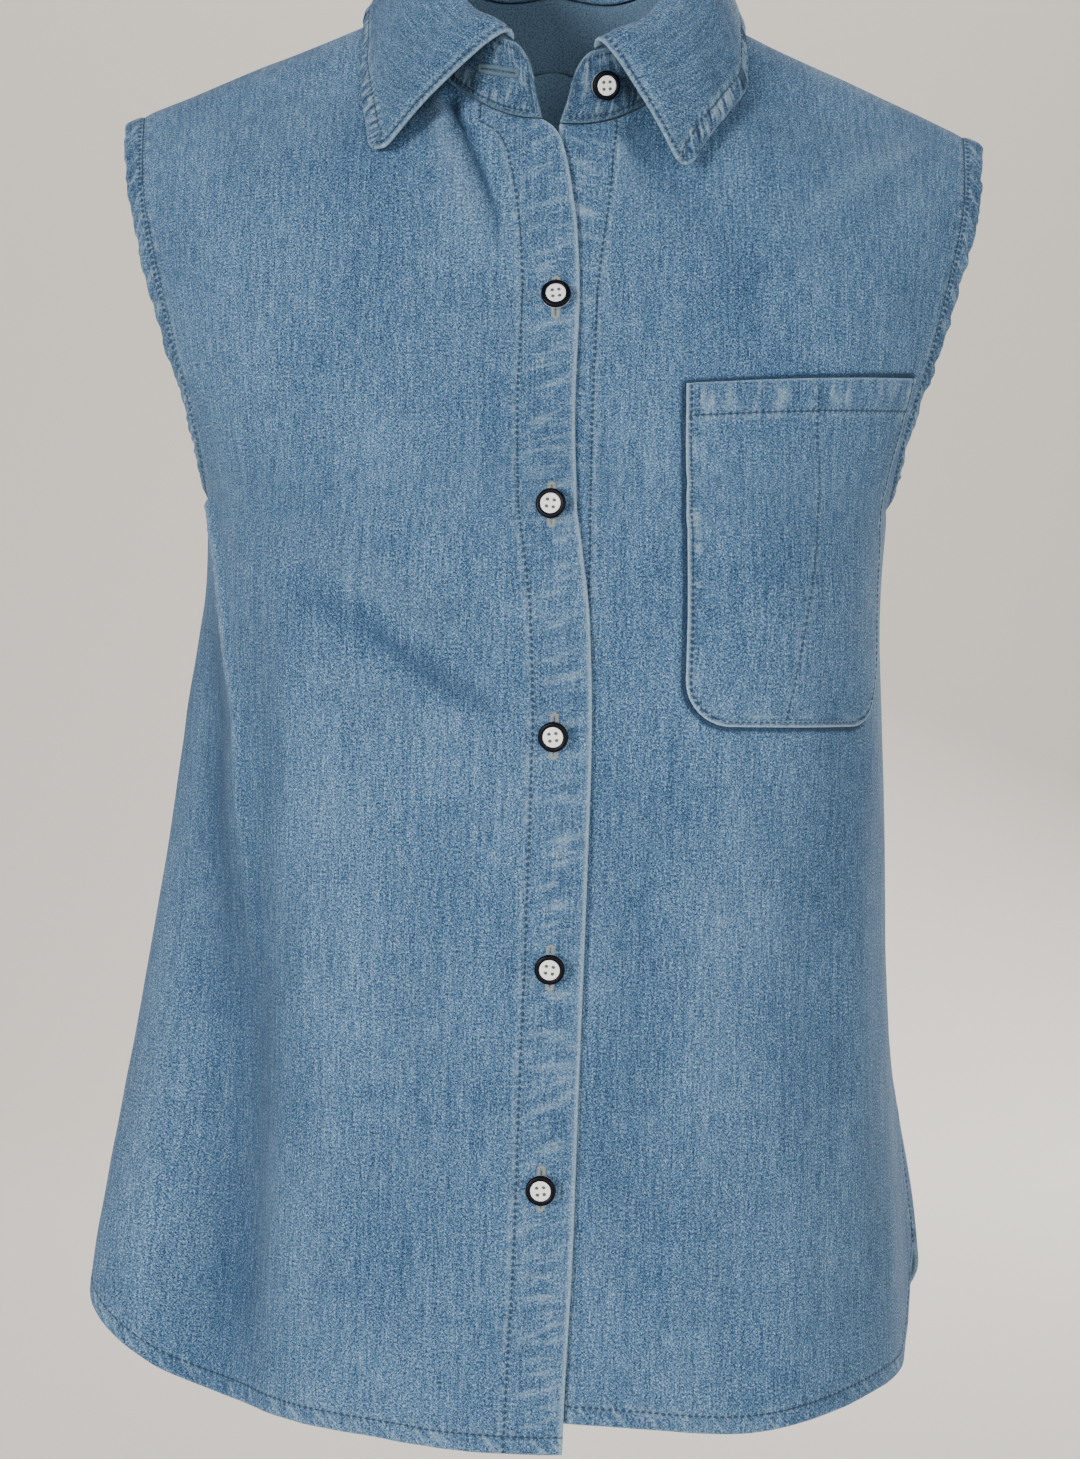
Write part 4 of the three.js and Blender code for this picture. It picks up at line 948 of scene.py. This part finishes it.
# the stand's colour is multiplied by 0.72: painted shade, for the shade under the collar
standDenim = denim("stand_denim", [("fromBorder", 2.6, 12, 0.2, 3.0, 0.6, 0.7, 0.8, 0.2, "along")], 0.72)
standPiece(standDenim)
collarPiece(collarDenim)
print("collar made")

# ---- armhole bindings
bindingSet = {"thick": 1.5, "stations": 330, "around": 26, "rope": 0.9, "pitch": 9.5}


def bindingPiece(name, side, node, seed, material):
    s = bindingSet
    v = np.linspace(vUnderarm, vBackUnderarm, s["stations"] * 4 + 1)
    line = clothAt(side, 1.0, v)
    normal = normalAt(side, 1.0, v)
    both, places = resampled(np.concatenate([line, normal], 1), 1.15)
    both = eased(both[:-1], 6, closed=True)
    line, normal = both[:, :3], unit(both[:, 3:])
    along = unit(np.roll(line, -1, 0) - np.roll(line, 1, 0))
    away = unit(np.cross(along, normal)) * side
    away *= np.sign((away * np.array([side, 0, 0])).sum())
    count = len(line)
    angle = np.linspace(0, 2 * math.pi, s["around"] + 1)
    wide = garment["binding"] / 2 + 0.2
    flatX = np.sign(np.cos(angle)) * np.abs(np.cos(angle)) ** 0.55 * wide
    flatY = np.sign(np.sin(angle)) * np.abs(np.sin(angle)) ** 0.6 * s["thick"]
    length = np.arange(count) * (places[-1] / count)
    slant = (flatX + wide)[None] * 0.55
    turn = (length[:, None] + slant) / s["pitch"]
    rope = wobble(turn * 1.9, seed) * 0.7 + wobble(turn * 4.1, seed + 3) * 0.35
    fade = ramp(length, 0, 12) * ramp(places[-1] - length, 0, 12)
    rope = rope * fade[:, None]
    puff = 1 + 0.3 * rope * (flatY > 0)
    centre = line + away * (wide + 0.1)
    seamDip = -0.5 * bell((flatX + wide - 1.2) / 1.0)[None] * (flatY > 0)
    offsetOut = flatX[None] + 0.6 * rope * ramp(flatX, 0, wide)[None]
    offsetUp = flatY[None] * puff + seamDip + s["rope"] * rope * (flatY > 0) * ramp(flatX, -wide, wide)[None] * 0.6
    ring = centre[:, None] + away[:, None] * offsetOut[..., None] + normal[:, None] * (offsetUp - 0.1)[..., None]
    bm = bmesh.new()
    bmesh.ops.create_grid(bm, x_segments=s["around"], y_segments=count, size=0.5)
    piece = pieceOf(name, bm, material, [node])
    mesh = piece.data
    flat = np.empty(len(mesh.vertices) * 3)
    mesh.vertices.foreach_get("co", flat)
    gridded = flat.reshape(-1, 3) + 0.5
    column = np.rint(gridded[:, 0] * s["around"]).astype(int)
    row = np.rint(gridded[:, 1] * count).astype(int)
    mesh.vertices.foreach_set("co", (ring[row % count, column % s["around"]] / 1000).ravel())
    corner = np.empty(len(mesh.loops), int)
    mesh.loops.foreach_get("vertex_index", corner)
    cover = np.stack([np.abs(flatX + wide)[column], row * (places[-1] / count)], 1)
    mesh.uv_layers.new(name="cloth").data.foreach_set("uv", (cover[corner] / 1000).ravel())
    marks = {"fromSeam": (flatX + wide)[column], "fromRim": (wide - flatX)[column], "inside": 0 * column}
    for label, values in marks.items():
        mesh.attributes.new(label, "FLOAT", "POINT").data.foreach_set("value", values.astype(float))
    shell = bmesh.new()
    shell.from_mesh(mesh)
    bmesh.ops.remove_doubles(shell, verts=shell.verts, dist=1e-6)
    bmesh.ops.recalc_face_normals(shell, faces=shell.faces)
    if shell.calc_volume(signed=True) < 0:
        bmesh.ops.reverse_faces(shell, faces=shell.faces)
    shell.to_mesh(mesh)
    shell.free()
    mesh.polygons.foreach_set("use_smooth", [True] * len(mesh.polygons))
    top = np.argmin(np.abs(flatX + wide - 1.4) + 10 * (flatY <= 0))
    panels[name] = {"line": ring[:, top], "normals": normal}
    print(name, count, "stations", round(places[-1]), "mm")
    return piece


bindingDenim = denim("binding_denim", [
    ("fromSeam", 1.2, 8, 0.9, 3.4, 0.0, 1.0, 0.6, 0.0, "along"),
    ("fromRim", -9, 5, 0.5, 3.0, 0.5, 0.9, 0.3, 0.0, "along")], 0.9)
bindingPiece("armhole_binding_right_cloth", -1, "armhole_binding_right", 81, bindingDenim)
bindingPiece("armhole_binding_left_cloth", 1, "armhole_binding_left", 91, bindingDenim)
print("bindings made")

# ---- chest pocket


def placeOnFront(distance, height):  # on the front with the pocket
    low, high = np.zeros(distance.shape), np.full(distance.shape, vShoulder)
    for _ in range(36):
        v = (low + high) / 2
        u = distance / spanAt(v)
        z = lerp(np.interp(v, vTable, middleTable), np.interp(v, vTable, edgeTable), u)
        low, high = np.where(z > height, low, v), np.where(z > height, v, high)
    u = distance / spanAt(v)
    return clothAt(1, u, v), normalAt(1, u, v), v


def pocketPiece(material):
    s = pocketSet
    distance = np.concatenate([
        s["left"] + np.array([0, 0.1, 0.35, 0.8, 1.6, 2.6]), spaced(s["left"] + 4, s["right"] - 4, 1.9),
        s["right"] - np.array([2.6, 1.6, 0.8, 0.35, 0.1, 0])])
    corner = np.where(distance < (s["left"] + s["right"]) / 2, s["corner"], s["farCorner"])
    inset = np.maximum(corner - np.minimum(distance - s["left"], s["right"] - distance), 0)
    low = s["bottom"] + corner - np.sqrt(corner ** 2 - inset ** 2)
    high = s["top"] + s["slant"] * (distance - s["left"]) / (s["right"] - s["left"])
    shares = spaced(0.04, 0.985, 1 / 78)
    heights = np.concatenate([
        low[None] + edgeStops[:, None], lerp(low[None], high[None], shares[:, None]),
        high[None] - edgeStops[::-1][:, None]])
    across = np.broadcast_to(distance, heights.shape)
    place, normal, v = placeOnFront(across, heights)
    slope = inset / np.sqrt(np.maximum(corner ** 2 - inset ** 2, 1))
    fromLow = (heights - low) / np.sqrt(1 + slope ** 2)
    fromHigh = high - heights
    fromSides = np.minimum(across - s["left"], s["right"] - across)
    sewn = np.minimum(fromLow, fromSides)
    border = np.minimum(sewn, fromHigh)
    wall = lerp(1.7, 1.1, ramp(fromHigh, s["band"], s["band"] + 1.5))
    under = creased("front", across, heights)[0] + softness(across, heights, 31)
    fromEdge = across + garment["lap"]
    level = lapLevel(False, fromEdge) + s["over"] + under * lerp(0.35, 1, ramp(fromEdge, 0, 34))
    relief = -0.28 * bell((sewn - s["inset"]) / 0.8) - 0.28 * bell((fromHigh - s["band"]) / 0.9)
    relief += 0.3 * bell((fromHigh - 7) / 6) * roping(across, fromHigh, 101, 8, 0.1)
    relief += 0.2 * bell(sewn / 6) * roping(across + heights, sewn, 103, 7, 0.4)
    relief += -0.25 * bell((across - dividerAt(heights)) / 0.9)
    relief += 0.5 * ramp(sewn, 3, 25) * ramp(fromHigh, 8, 30)
    middle = place + normal * (level + wall / 2 + relief)[..., None]
    half = wall / 2 * edgeRound(border, wall / 2)
    half[0], half[-1], half[:, 0], half[:, -1] = 0, 0, 0, 0
    cover = np.stack([across, v], -1)
    marks = {"fromSewn": sewn, "fromTopEdge": fromHigh, "fromDivider": np.abs(across - dividerAt(heights))}
    piece, outer, normals = clothPiece("pocket_cloth", middle, half, cover, marks, material, ["pocket"], normal)
    area = min(areaOf(middle), 0.12 * 0.162)
    panels["pocket"] = {"outer": outer, "normals": normals, "across": across, "heights": heights}
    return piece


def dividerAt(height):  # a line of stitches down the pocket
    return through([-310, -270, -232, -205, -180, -160], [98, 104, 112, 115, 112, 112])(height)


pocketDenim = denim("pocket_denim", [
    ("fromSewn", 2.1, 6.0, 0.3, 6.0, 1.0, 0.9, 0.35, 0.25, "along"),
    ("fromTopEdge", 14, 13, 0.1, 6.5, 0.7, 0.8, 0.6, 0.3, "across"),
    ("fromDivider", 0.0, 2.0, 0.1, 3.0, 0.0, 1.0, 0.2, 0.25, "along")])
pocketPiece(pocketDenim)
print("pocket made")

# ---- sewing
threadSet = {"pitch": 2.8, "length": 1.9, "width": 0.36, "height": 0.3, "sink": 0.05}
threadBlue = plainFinish("thread_blue", (0.022, 0.052, 0.095), 0.75)
# the collar stand's buttonhole thread, darker than the other buttonholes' thread: painted shade for the shade under
# the collar
threadInShade = plainFinish("thread_in_shade", (0.10, 0.16, 0.21), 0.75)
threadPale = plainFinish("thread_pale", (0.27, 0.30, 0.31), 0.75)


def sewnRow(bm, points, normals, settings=threadSet, cross=False):
    lengths = np.concatenate([[0], np.cumsum(np.linalg.norm(np.diff(points, axis=0), axis=1))])
    count = int(lengths[-1] / settings["pitch"])
    if count < 1:
        return
    ends = (np.arange(count) + 0.5) * lengths[-1] / count
    reach = settings["length"] / 2
    pick = lambda where, values: np.stack([np.interp(where, lengths, values[:, i]) for i in range(3)], -1)
    before, after = pick(ends - reach, points), pick(ends + reach, points)
    centre, normal = (before + after) / 2, unit(pick(ends, normals))
    heading = unit(after - before)
    side = unit(np.cross(normal, heading))
    if cross:
        heading, side = side, heading
    for c, n, h, s in zip(centre, normal, heading, side):
        length, width = (settings["cross"], settings["width"]) if cross else (reach, settings["width"])
        columns = [s * width / 1000, n * settings["height"] / 1000, h * length / 1000]
        place = Matrix.Identity(4)
        for k, column in enumerate(columns):
            for r in range(3):
                place[r][k] = column[r]
        for r in range(3):
            place[r][3] = (c[r] + n[r] * settings["sink"]) / 1000
        bmesh.ops.create_uvsphere(bm, u_segments=6, v_segments=4, radius=1, matrix=place)


def merged(name, rows, material, settings=threadSet, cross=False):
    whole = bmesh.new()
    scrap = bpy.data.meshes.new("row")
    for points, normals in rows:
        bm = bmesh.new()
        sewnRow(bm, points, normals, settings, cross)
        bm.to_mesh(scrap)
        bm.free()
        whole.from_mesh(scrap)
    bpy.data.meshes.remove(scrap)
    bmesh.ops.recalc_face_normals(whole, faces=whole.faces)
    return pieceOf(name, whole, material)


def lineAcross(panel, marks, value, rows=slice(None)):  # a line at one distance, one point a row
    outer, normals = panels[panel]["outer"], panels[panel]["normals"]
    marks = panels[panel][marks][rows]
    outer, normals = outer[rows], normals[rows]
    points, faces = [], []
    for i in range(len(marks)):
        order = np.argsort(marks[i])
        points.append([np.interp(value, marks[i][order], outer[i][order][:, k]) for k in range(3)])
        faces.append([np.interp(value, marks[i][order], normals[i][order][:, k]) for k in range(3)])
    return np.array(points), np.array(faces)


def lineAlong(panel, value):  # a line at one height over the hem, one point a column
    outer, normals, marks = (panels[panel][k] for k in ("outer", "normals", "overHem"))
    points, faces = [], []
    for j in range(outer.shape[1]):
        keep = marks[:, j] < 300
        points.append([np.interp(value, marks[keep, j], outer[keep, j, k]) for k in range(3)])
        faces.append([np.interp(value, marks[keep, j], normals[keep, j, k]) for k in range(3)])
    return np.array(points), np.array(faces)


frontRight = [lineAcross("right", "fromEdge", 24.3), lineAlong("right", 7.4)]
frontLeft = [lineAcross("left", "fromEdge", 24.3), lineAlong("left", 7.4)]
merged("front_right_stitches", frontRight, threadBlue)
merged("front_left_stitches", frontLeft, threadBlue)
merged("back_stitches", [lineAlong("back", 7.4)], threadBlue)


def closed(line):
    return np.concatenate([line, line[:1]])


for side in ("right", "left"):
    ring = panels["armhole_binding_" + side + "_cloth"]
    merged("armhole_" + side + "_stitches", [(closed(ring["line"]), closed(ring["normals"]))], threadBlue)


def gridLine(panel, rows, columns):  # a line through places in a piece's grid, given in steps
    outer, normals = panels[panel]["outer"], panels[panel]["normals"]
    r0, c0 = np.floor(rows).astype(int), np.floor(columns).astype(int)
    r1, c1 = np.minimum(r0 + 1, outer.shape[0] - 1), np.minimum(c0 + 1, outer.shape[1] - 1)
    s, t = (rows - r0)[:, None], (columns - c0)[:, None]
    blend = lambda grid: lerp(lerp(grid[r0, c0], grid[r1, c0], s), lerp(grid[r0, c1], grid[r1, c1], s), t)
    return blend(outer), unit(blend(normals))


def standRows(inset):
    p = panels["stand"]
    stops, height, rows = p["stops"], p["height"], p["rows"]
    count = len(rows)
    rowOf = lambda share: np.interp(share, rows, np.arange(count))
    columns = np.interp(np.linspace(inset, seamLength - inset, 200), stops, np.arange(len(stops)))
    tall = np.interp(columns, np.arange(len(stops)), height)
    low = gridLine("stand", rowOf(inset / tall), columns)
    top = gridLine("stand", rowOf(1 - inset / tall), columns)
    rise = np.linspace(0, 1, 12)
    ends = []
    for where in (inset, seamLength - inset):
        column = np.interp(where, stops, np.arange(len(stops)))
        full = float(np.interp(column, np.arange(len(stops)), height))
        ends.append(gridLine("stand", rowOf(lerp(inset / full, 1 - inset / full, rise)), 0 * rise + column))
    return [low, top, *ends]


merged("collar_stand_stitches", standRows(2.6), threadBlue)


def collarRows():
    p = panels["collar"]
    fromHem, ends = p["fromHem"], p["ends"]
    rows, columns = fromHem.shape
    r, c = [], []
    for j in range(columns):
        if ends[-1, j] > 4:
            r.append(np.interp(-7.6, -fromHem[:, j], np.arange(rows)))
            c.append(j)
    lines = [gridLine("collar", np.array(r), np.array(c, float))]
    for half in (slice(0, columns // 2), slice(columns // 2, columns)):
        r, c = [], []
        for i in range(12, rows):
            if fromHem[i, 0] > 3:
                row = ends[i, half]
                place = np.interp(2.4, row if half.start == 0 else row[::-1], np.arange(len(row)))
                c.append(place if half.start == 0 else columns - 1 - place)
                r.append(i)
        lines.append(gridLine("collar", np.array(r, float), np.array(c)))
    return lines


merged("collar_stitches", collarRows(), threadBlue)


def pocketLine(points):  # points: (across, height)
    p = panels["pocket"]
    points = np.array(points, float)
    columns = np.interp(points[:, 0], p["across"][0], np.arange(p["across"].shape[1]))
    rows = []
    for (x, z), column in zip(points, columns):
        j = int(round(column))
        rows.append(np.interp(z, p["heights"][:, j], np.arange(p["heights"].shape[0])))
    return gridLine("pocket", np.array(rows), columns)


def pocketRows():
    s = pocketSet
    inset = s["inset"]
    radius, far = s["corner"] - inset, s["farCorner"] - inset
    left, right, bottom = s["left"] + inset, s["right"] - inset, s["bottom"] + inset
    topLeft, topRight = s["top"] - 0.5, s["top"] + s["slant"] - 0.5
    turns = np.linspace(0, math.pi / 2, 14)
    outline = [(left, z) for z in np.linspace(topLeft, bottom + radius, 40)]
    outline += [(left + radius - radius * math.cos(a), bottom + radius - radius * math.sin(a)) for a in turns[1:]]
    outline += [(x, bottom) for x in np.linspace(left + radius, right - far, 40)[1:]]
    outline += [(right - far + far * math.sin(a), bottom + far - far * math.cos(a)) for a in turns[1:]]
    outline += [(right, z) for z in np.linspace(bottom + far, topRight, 40)[1:]]
    slant = lambda x: s["slant"] * (x - s["left"]) / (s["right"] - s["left"])
    band = [(x, s["top"] - s["band"] + slant(x)) for x in np.linspace(s["left"] + 2, s["right"] - 2, 60)]
    divider = [(float(dividerAt(np.array(z))), z) for z in np.linspace(s["top"] + 1, s["bottom"] + 3, 60)]
    tack = [(s["left"] + 5.2, z) for z in np.linspace(s["top"] - 1, s["top"] - s["band"], 10)]
    return [pocketLine(outline), pocketLine(band), pocketLine(divider), pocketLine(tack)]


merged("pocket_stitches", pocketRows(), threadBlue)
print("sewing made")

# ---- buttons and buttonholes
buttonSet = {
    "radius": 6.15, "thick": 3.9, "face": 4.15, "ring": 5.85, "holeRadius": 0.9, "holeAt": 1.5, "sides": 48,
    "heights": [-131, -219, -314, -409, -500], "shank": 0.9, "across": [0, -0.5, 2.2, 2.6, 0.8],
    "lean": [(-0.05, 0.12), (-0.2, -0.12), (-0.16, -0.2), (-0.1, -0.14), (-0.12, -0.06)],  # towards +X and up
}
holeSet = {
    "long": 18.0, "wide": 1.25, "pitch": 0.6, "cross": 1.05, "length": 0.5, "width": 0.36, "height": 0.5,
    "sink": 0.25,
}
white = plainFinish("button_white", (0.97, 0.97, 0.965), 0.25, 0.2)
black = plainFinish("button_black", (0.002, 0.003, 0.007), 0.4, 0.0, 0.12)
# the four holes are dark grey discs on the face, not cut through: painted shade
holeShade = plainFinish("button_holes", (0.09, 0.09, 0.10), 0.8)


def turned(profile, sides):  # a closed profile turned round the Z axis
    bm = bmesh.new()
    verts = [bm.verts.new((x, 0, z)) for x, z in profile]
    edges = [bm.edges.new(pair) for pair in zip(verts, verts[1:])]
    bmesh.ops.spin(
        bm, geom=verts + edges, cent=(0, 0, 0), axis=(0, 0, 1), angle=2 * math.pi, steps=sides, use_merge=True)
    bmesh.ops.remove_doubles(bm, verts=bm.verts, dist=1e-5)
    bmesh.ops.recalc_face_normals(bm, faces=bm.faces)
    return bm


def placeBmesh(bm, centre, normal, up, scale=0.001):
    x = unit(np.cross(up, normal))
    y = np.cross(normal, x)
    place = Matrix.Identity(4)
    for r in range(3):
        for c, axis in enumerate((x, y, normal)):
            place[r][c] = axis[r] * scale
        place[r][3] = centre[r] / 1000
    bmesh.ops.transform(bm, matrix=place, verts=bm.verts)


def buttonPieces(name, centre, normal, up, node):
    s = buttonSet
    r, t = s["radius"], s["thick"]
    body = turned([
        (0, 0), (r * 0.66, 0), (r * 0.88, 0.35), (r * 0.985, 1.2), (r, 1.7), (r * 0.95, 2.1), (r * 0.9, t - 0.5),
        (0, t - 0.5)], s["sides"])
    placeBmesh(body, centre, normal, up)
    pieceOf(name + "_base", body, white, [node])
    ring = turned([
        (s["ring"] + 0.28, 1.75), (s["ring"] + 0.38, 2.2), (s["ring"] + 0.36, t - 0.5),
        (s["ring"] + 0.1, t - 0.12), (s["ring"] - 0.6, t + 0.06),
        (s["face"] + 0.3, t - 0.05), (s["face"] - 0.1, t - 0.5)], s["sides"])
    placeBmesh(ring, centre, normal, up)
    pieceOf(name + "_ring", ring, black)
    face = turned([
        (0, t - 0.36), (1.2, t - 0.36), (2.5, t - 0.3), (s["face"] - 0.5, t - 0.14), (s["face"] - 0.05, t - 0.14),
        (s["face"] + 0.1, t - 0.4)], s["sides"])
    placeBmesh(face, centre, normal, up)
    pieceOf(name + "_face", face, white)
    holes = bmesh.new()
    for sx in (-1, 1):
        for sy in (-1, 1):
            place = Matrix.Translation((sx * s["holeAt"], sy * s["holeAt"], t - 0.36))
            place = place @ Matrix.Diagonal((s["holeRadius"], s["holeRadius"] * 0.9, 0.14, 1))
            bmesh.ops.create_uvsphere(holes, u_segments=12, v_segments=6, radius=1, matrix=place)
    placeBmesh(holes, centre, normal, up)
    pieceOf(name + "_holes", holes, holeShade)


def buttonhole(name, centre, normal, up, thread=threadPale):
    s = holeSet
    half = s["long"] / 2
    turns = np.linspace(0, 2 * math.pi, 120)
    side = unit(np.cross(up, normal))
    up = np.cross(normal, side)
    x = s["wide"] * np.cos(turns)
    y = np.clip(np.sin(turns) * half * 1.6, -half, half)
    points = centre + np.outer(x, side) + np.outer(y, up)
    normals = np.tile(normal, (len(points), 1))
    merged(name, [(points, normals)], thread, s, cross=True)


def onPlacket(height):  # the right front's outer face on the middle line
    p = panels["right"]
    line, normals = lineAcross("right", "fromEdge", garment["lap"])
    order = np.argsort(line[:, 2])
    point = np.array([np.interp(height, line[order, 2], line[order, k]) for k in range(3)])
    normal = unit(np.array([np.interp(height, line[order, 2], normals[order, k]) for k in range(3)]))
    return point, normal


for number, height in enumerate(buttonSet["heights"], 1):
    point, normal = onPlacket(height)
    up = np.array([0.0, 0.0, 1.0])
    point[0] = buttonSet["across"][number - 1]
    leanX, leanUp = buttonSet["lean"][number - 1]
    facing = unit(normal + np.array([leanX, 0, leanUp]))
    turnedUp = np.array([0.12 * (-1) ** number, 0, 1])
    name = "button_" + str(number)
    buttonPieces(name, point + normal * buttonSet["shank"], facing, turnedUp, name)
    buttonhole("buttonhole_" + str(number), point - normal * 0.1, normal, up)

collarButton = {"in": 20, "up": 15, "out": 1.5}
place = np.array([seamLength - collarButton["in"]])
base, up, out = at(place, standBase)[0], unit(at(place, standUp))[0], unit(at(place, standOut))[0]
normal = unit(out - up * out.dot(up))
centre = base + up * collarButton["up"] + normal * collarButton["out"]
buttonPieces("button_collar", centre, normal, up, "button_collar")
place = np.array([collarButton["in"] + 2.0])
base, up, out = at(place, standBase)[0], unit(at(place, standUp))[0], unit(at(place, standOut))[0]
normal = unit(out - up * out.dot(up))
buttonhole("buttonhole_collar", base + up * 16 + normal * 0.95, normal, np.cross(normal, up), threadInShade)
print("buttons made")

# ---- floor, light and camera
stageSet = {
    "floor": -0.86, "floorColour": (0.74, 0.69, 0.63), "world": (0.70, 0.69, 0.68), "worldStrength": 0.26,
    "wallAt": 3.2, "bend": 1.2,
    "camera": (-0.025, -1.225, -0.279), "yaw": 1.12, "pitch": 1.7, "roll": 1.2, "lens": 66.2,
}
floor = bmesh.new()
bmesh.ops.create_grid(floor, x_segments=1, y_segments=1, size=9)
bmesh.ops.translate(floor, verts=floor.verts, vec=(0, stageSet["wallAt"] - stageSet["bend"] - 9, stageSet["floor"]))
rim = [e for e in floor.edges if min(v.co.y for v in e.verts) > stageSet["wallAt"] - stageSet["bend"] - 0.01]
bent = bmesh.ops.spin(
    floor, geom=rim, axis=(1, 0, 0),
    cent=(0, stageSet["wallAt"] - stageSet["bend"], stageSet["floor"] + stageSet["bend"]),
    angle=math.pi / 2, steps=24)
top = [e for e in bent["geom_last"] if isinstance(e, bmesh.types.BMEdge)]
raised = bmesh.ops.extrude_edge_only(floor, edges=top)["geom"]
bmesh.ops.translate(floor, verts=[v for v in raised if isinstance(v, bmesh.types.BMVert)], vec=(0, 0, 6))
bmesh.ops.recalc_face_normals(floor, faces=floor.faces)
floorFinish = Finish("floor_paper")
paper = floorFinish.shader({"Base Color": (*stageSet["floorColour"], 1), "Roughness": 0.9})
mesh = bpy.data.meshes.new("floor")
floor.to_mesh(mesh)
floor.free()
floorPiece = bpy.data.objects.new("floor", mesh)
bpy.context.scene.collection.objects.link(floorPiece)
mesh.materials.append(paper)
mesh.polygons.foreach_set("use_smooth", [True] * len(mesh.polygons))

world = bpy.data.worlds.new("studio")
bpy.context.scene.world = world
world.use_nodes = True
world.node_tree.nodes["Background"].inputs[0].default_value = (*stageSet["world"], 1)
world.node_tree.nodes["Background"].inputs[1].default_value = stageSet["worldStrength"]


def softLight(name, place, target, size, power, colour=(1, 1, 1)):
    light = bpy.data.lights.new(name, "AREA")
    light.shape, light.size, light.energy, light.color = "DISK", size, power, colour
    lamp = bpy.data.objects.new(name, light)
    lamp.location = place
    lamp.rotation_euler = (Vector(target) - Vector(place)).to_track_quat("-Z", "Y").to_euler()
    bpy.context.scene.collection.objects.link(lamp)


softLight("key", (-1.75, -2.35, -0.05), (0, 0, -0.35), 0.8, 74)
softLight("front", (0.6, -2.9, 0.1), (0, 0, -0.35), 1.0, 25)
softLight("fill", (2.3, -1.4, -0.1), (0, 0, -0.35), 1.3, 25)
softLight("top", (-0.3, 0.3, 2.2), (0, 0, -0.2), 1.2, 3)
softLight("rear", (1.2, 2.2, 0.7), (0, 0, -0.3), 1.2, 52)
softLight("backdrop", (0.0, 0.9, 2.6), (0, 3.2, 0.2), 2.4, 84)

cameraData = bpy.data.cameras.new("camera")
cameraData.sensor_fit, cameraData.sensor_height, cameraData.sensor_width = "VERTICAL", 36, 36
cameraData.lens = stageSet["lens"]
camera = bpy.data.objects.new("camera", cameraData)
turn = Matrix.Rotation(math.radians(-stageSet["yaw"]), 4, "Z")
tilt = Matrix.Rotation(math.radians(90 - stageSet["pitch"]), 4, "X")
lean = Matrix.Rotation(math.radians(stageSet["roll"]), 4, "Z")
camera.matrix_world = Matrix.Translation(stageSet["camera"]) @ turn @ tilt @ lean
bpy.context.scene.collection.objects.link(camera)
bpy.context.scene.camera = camera

print("scene made")
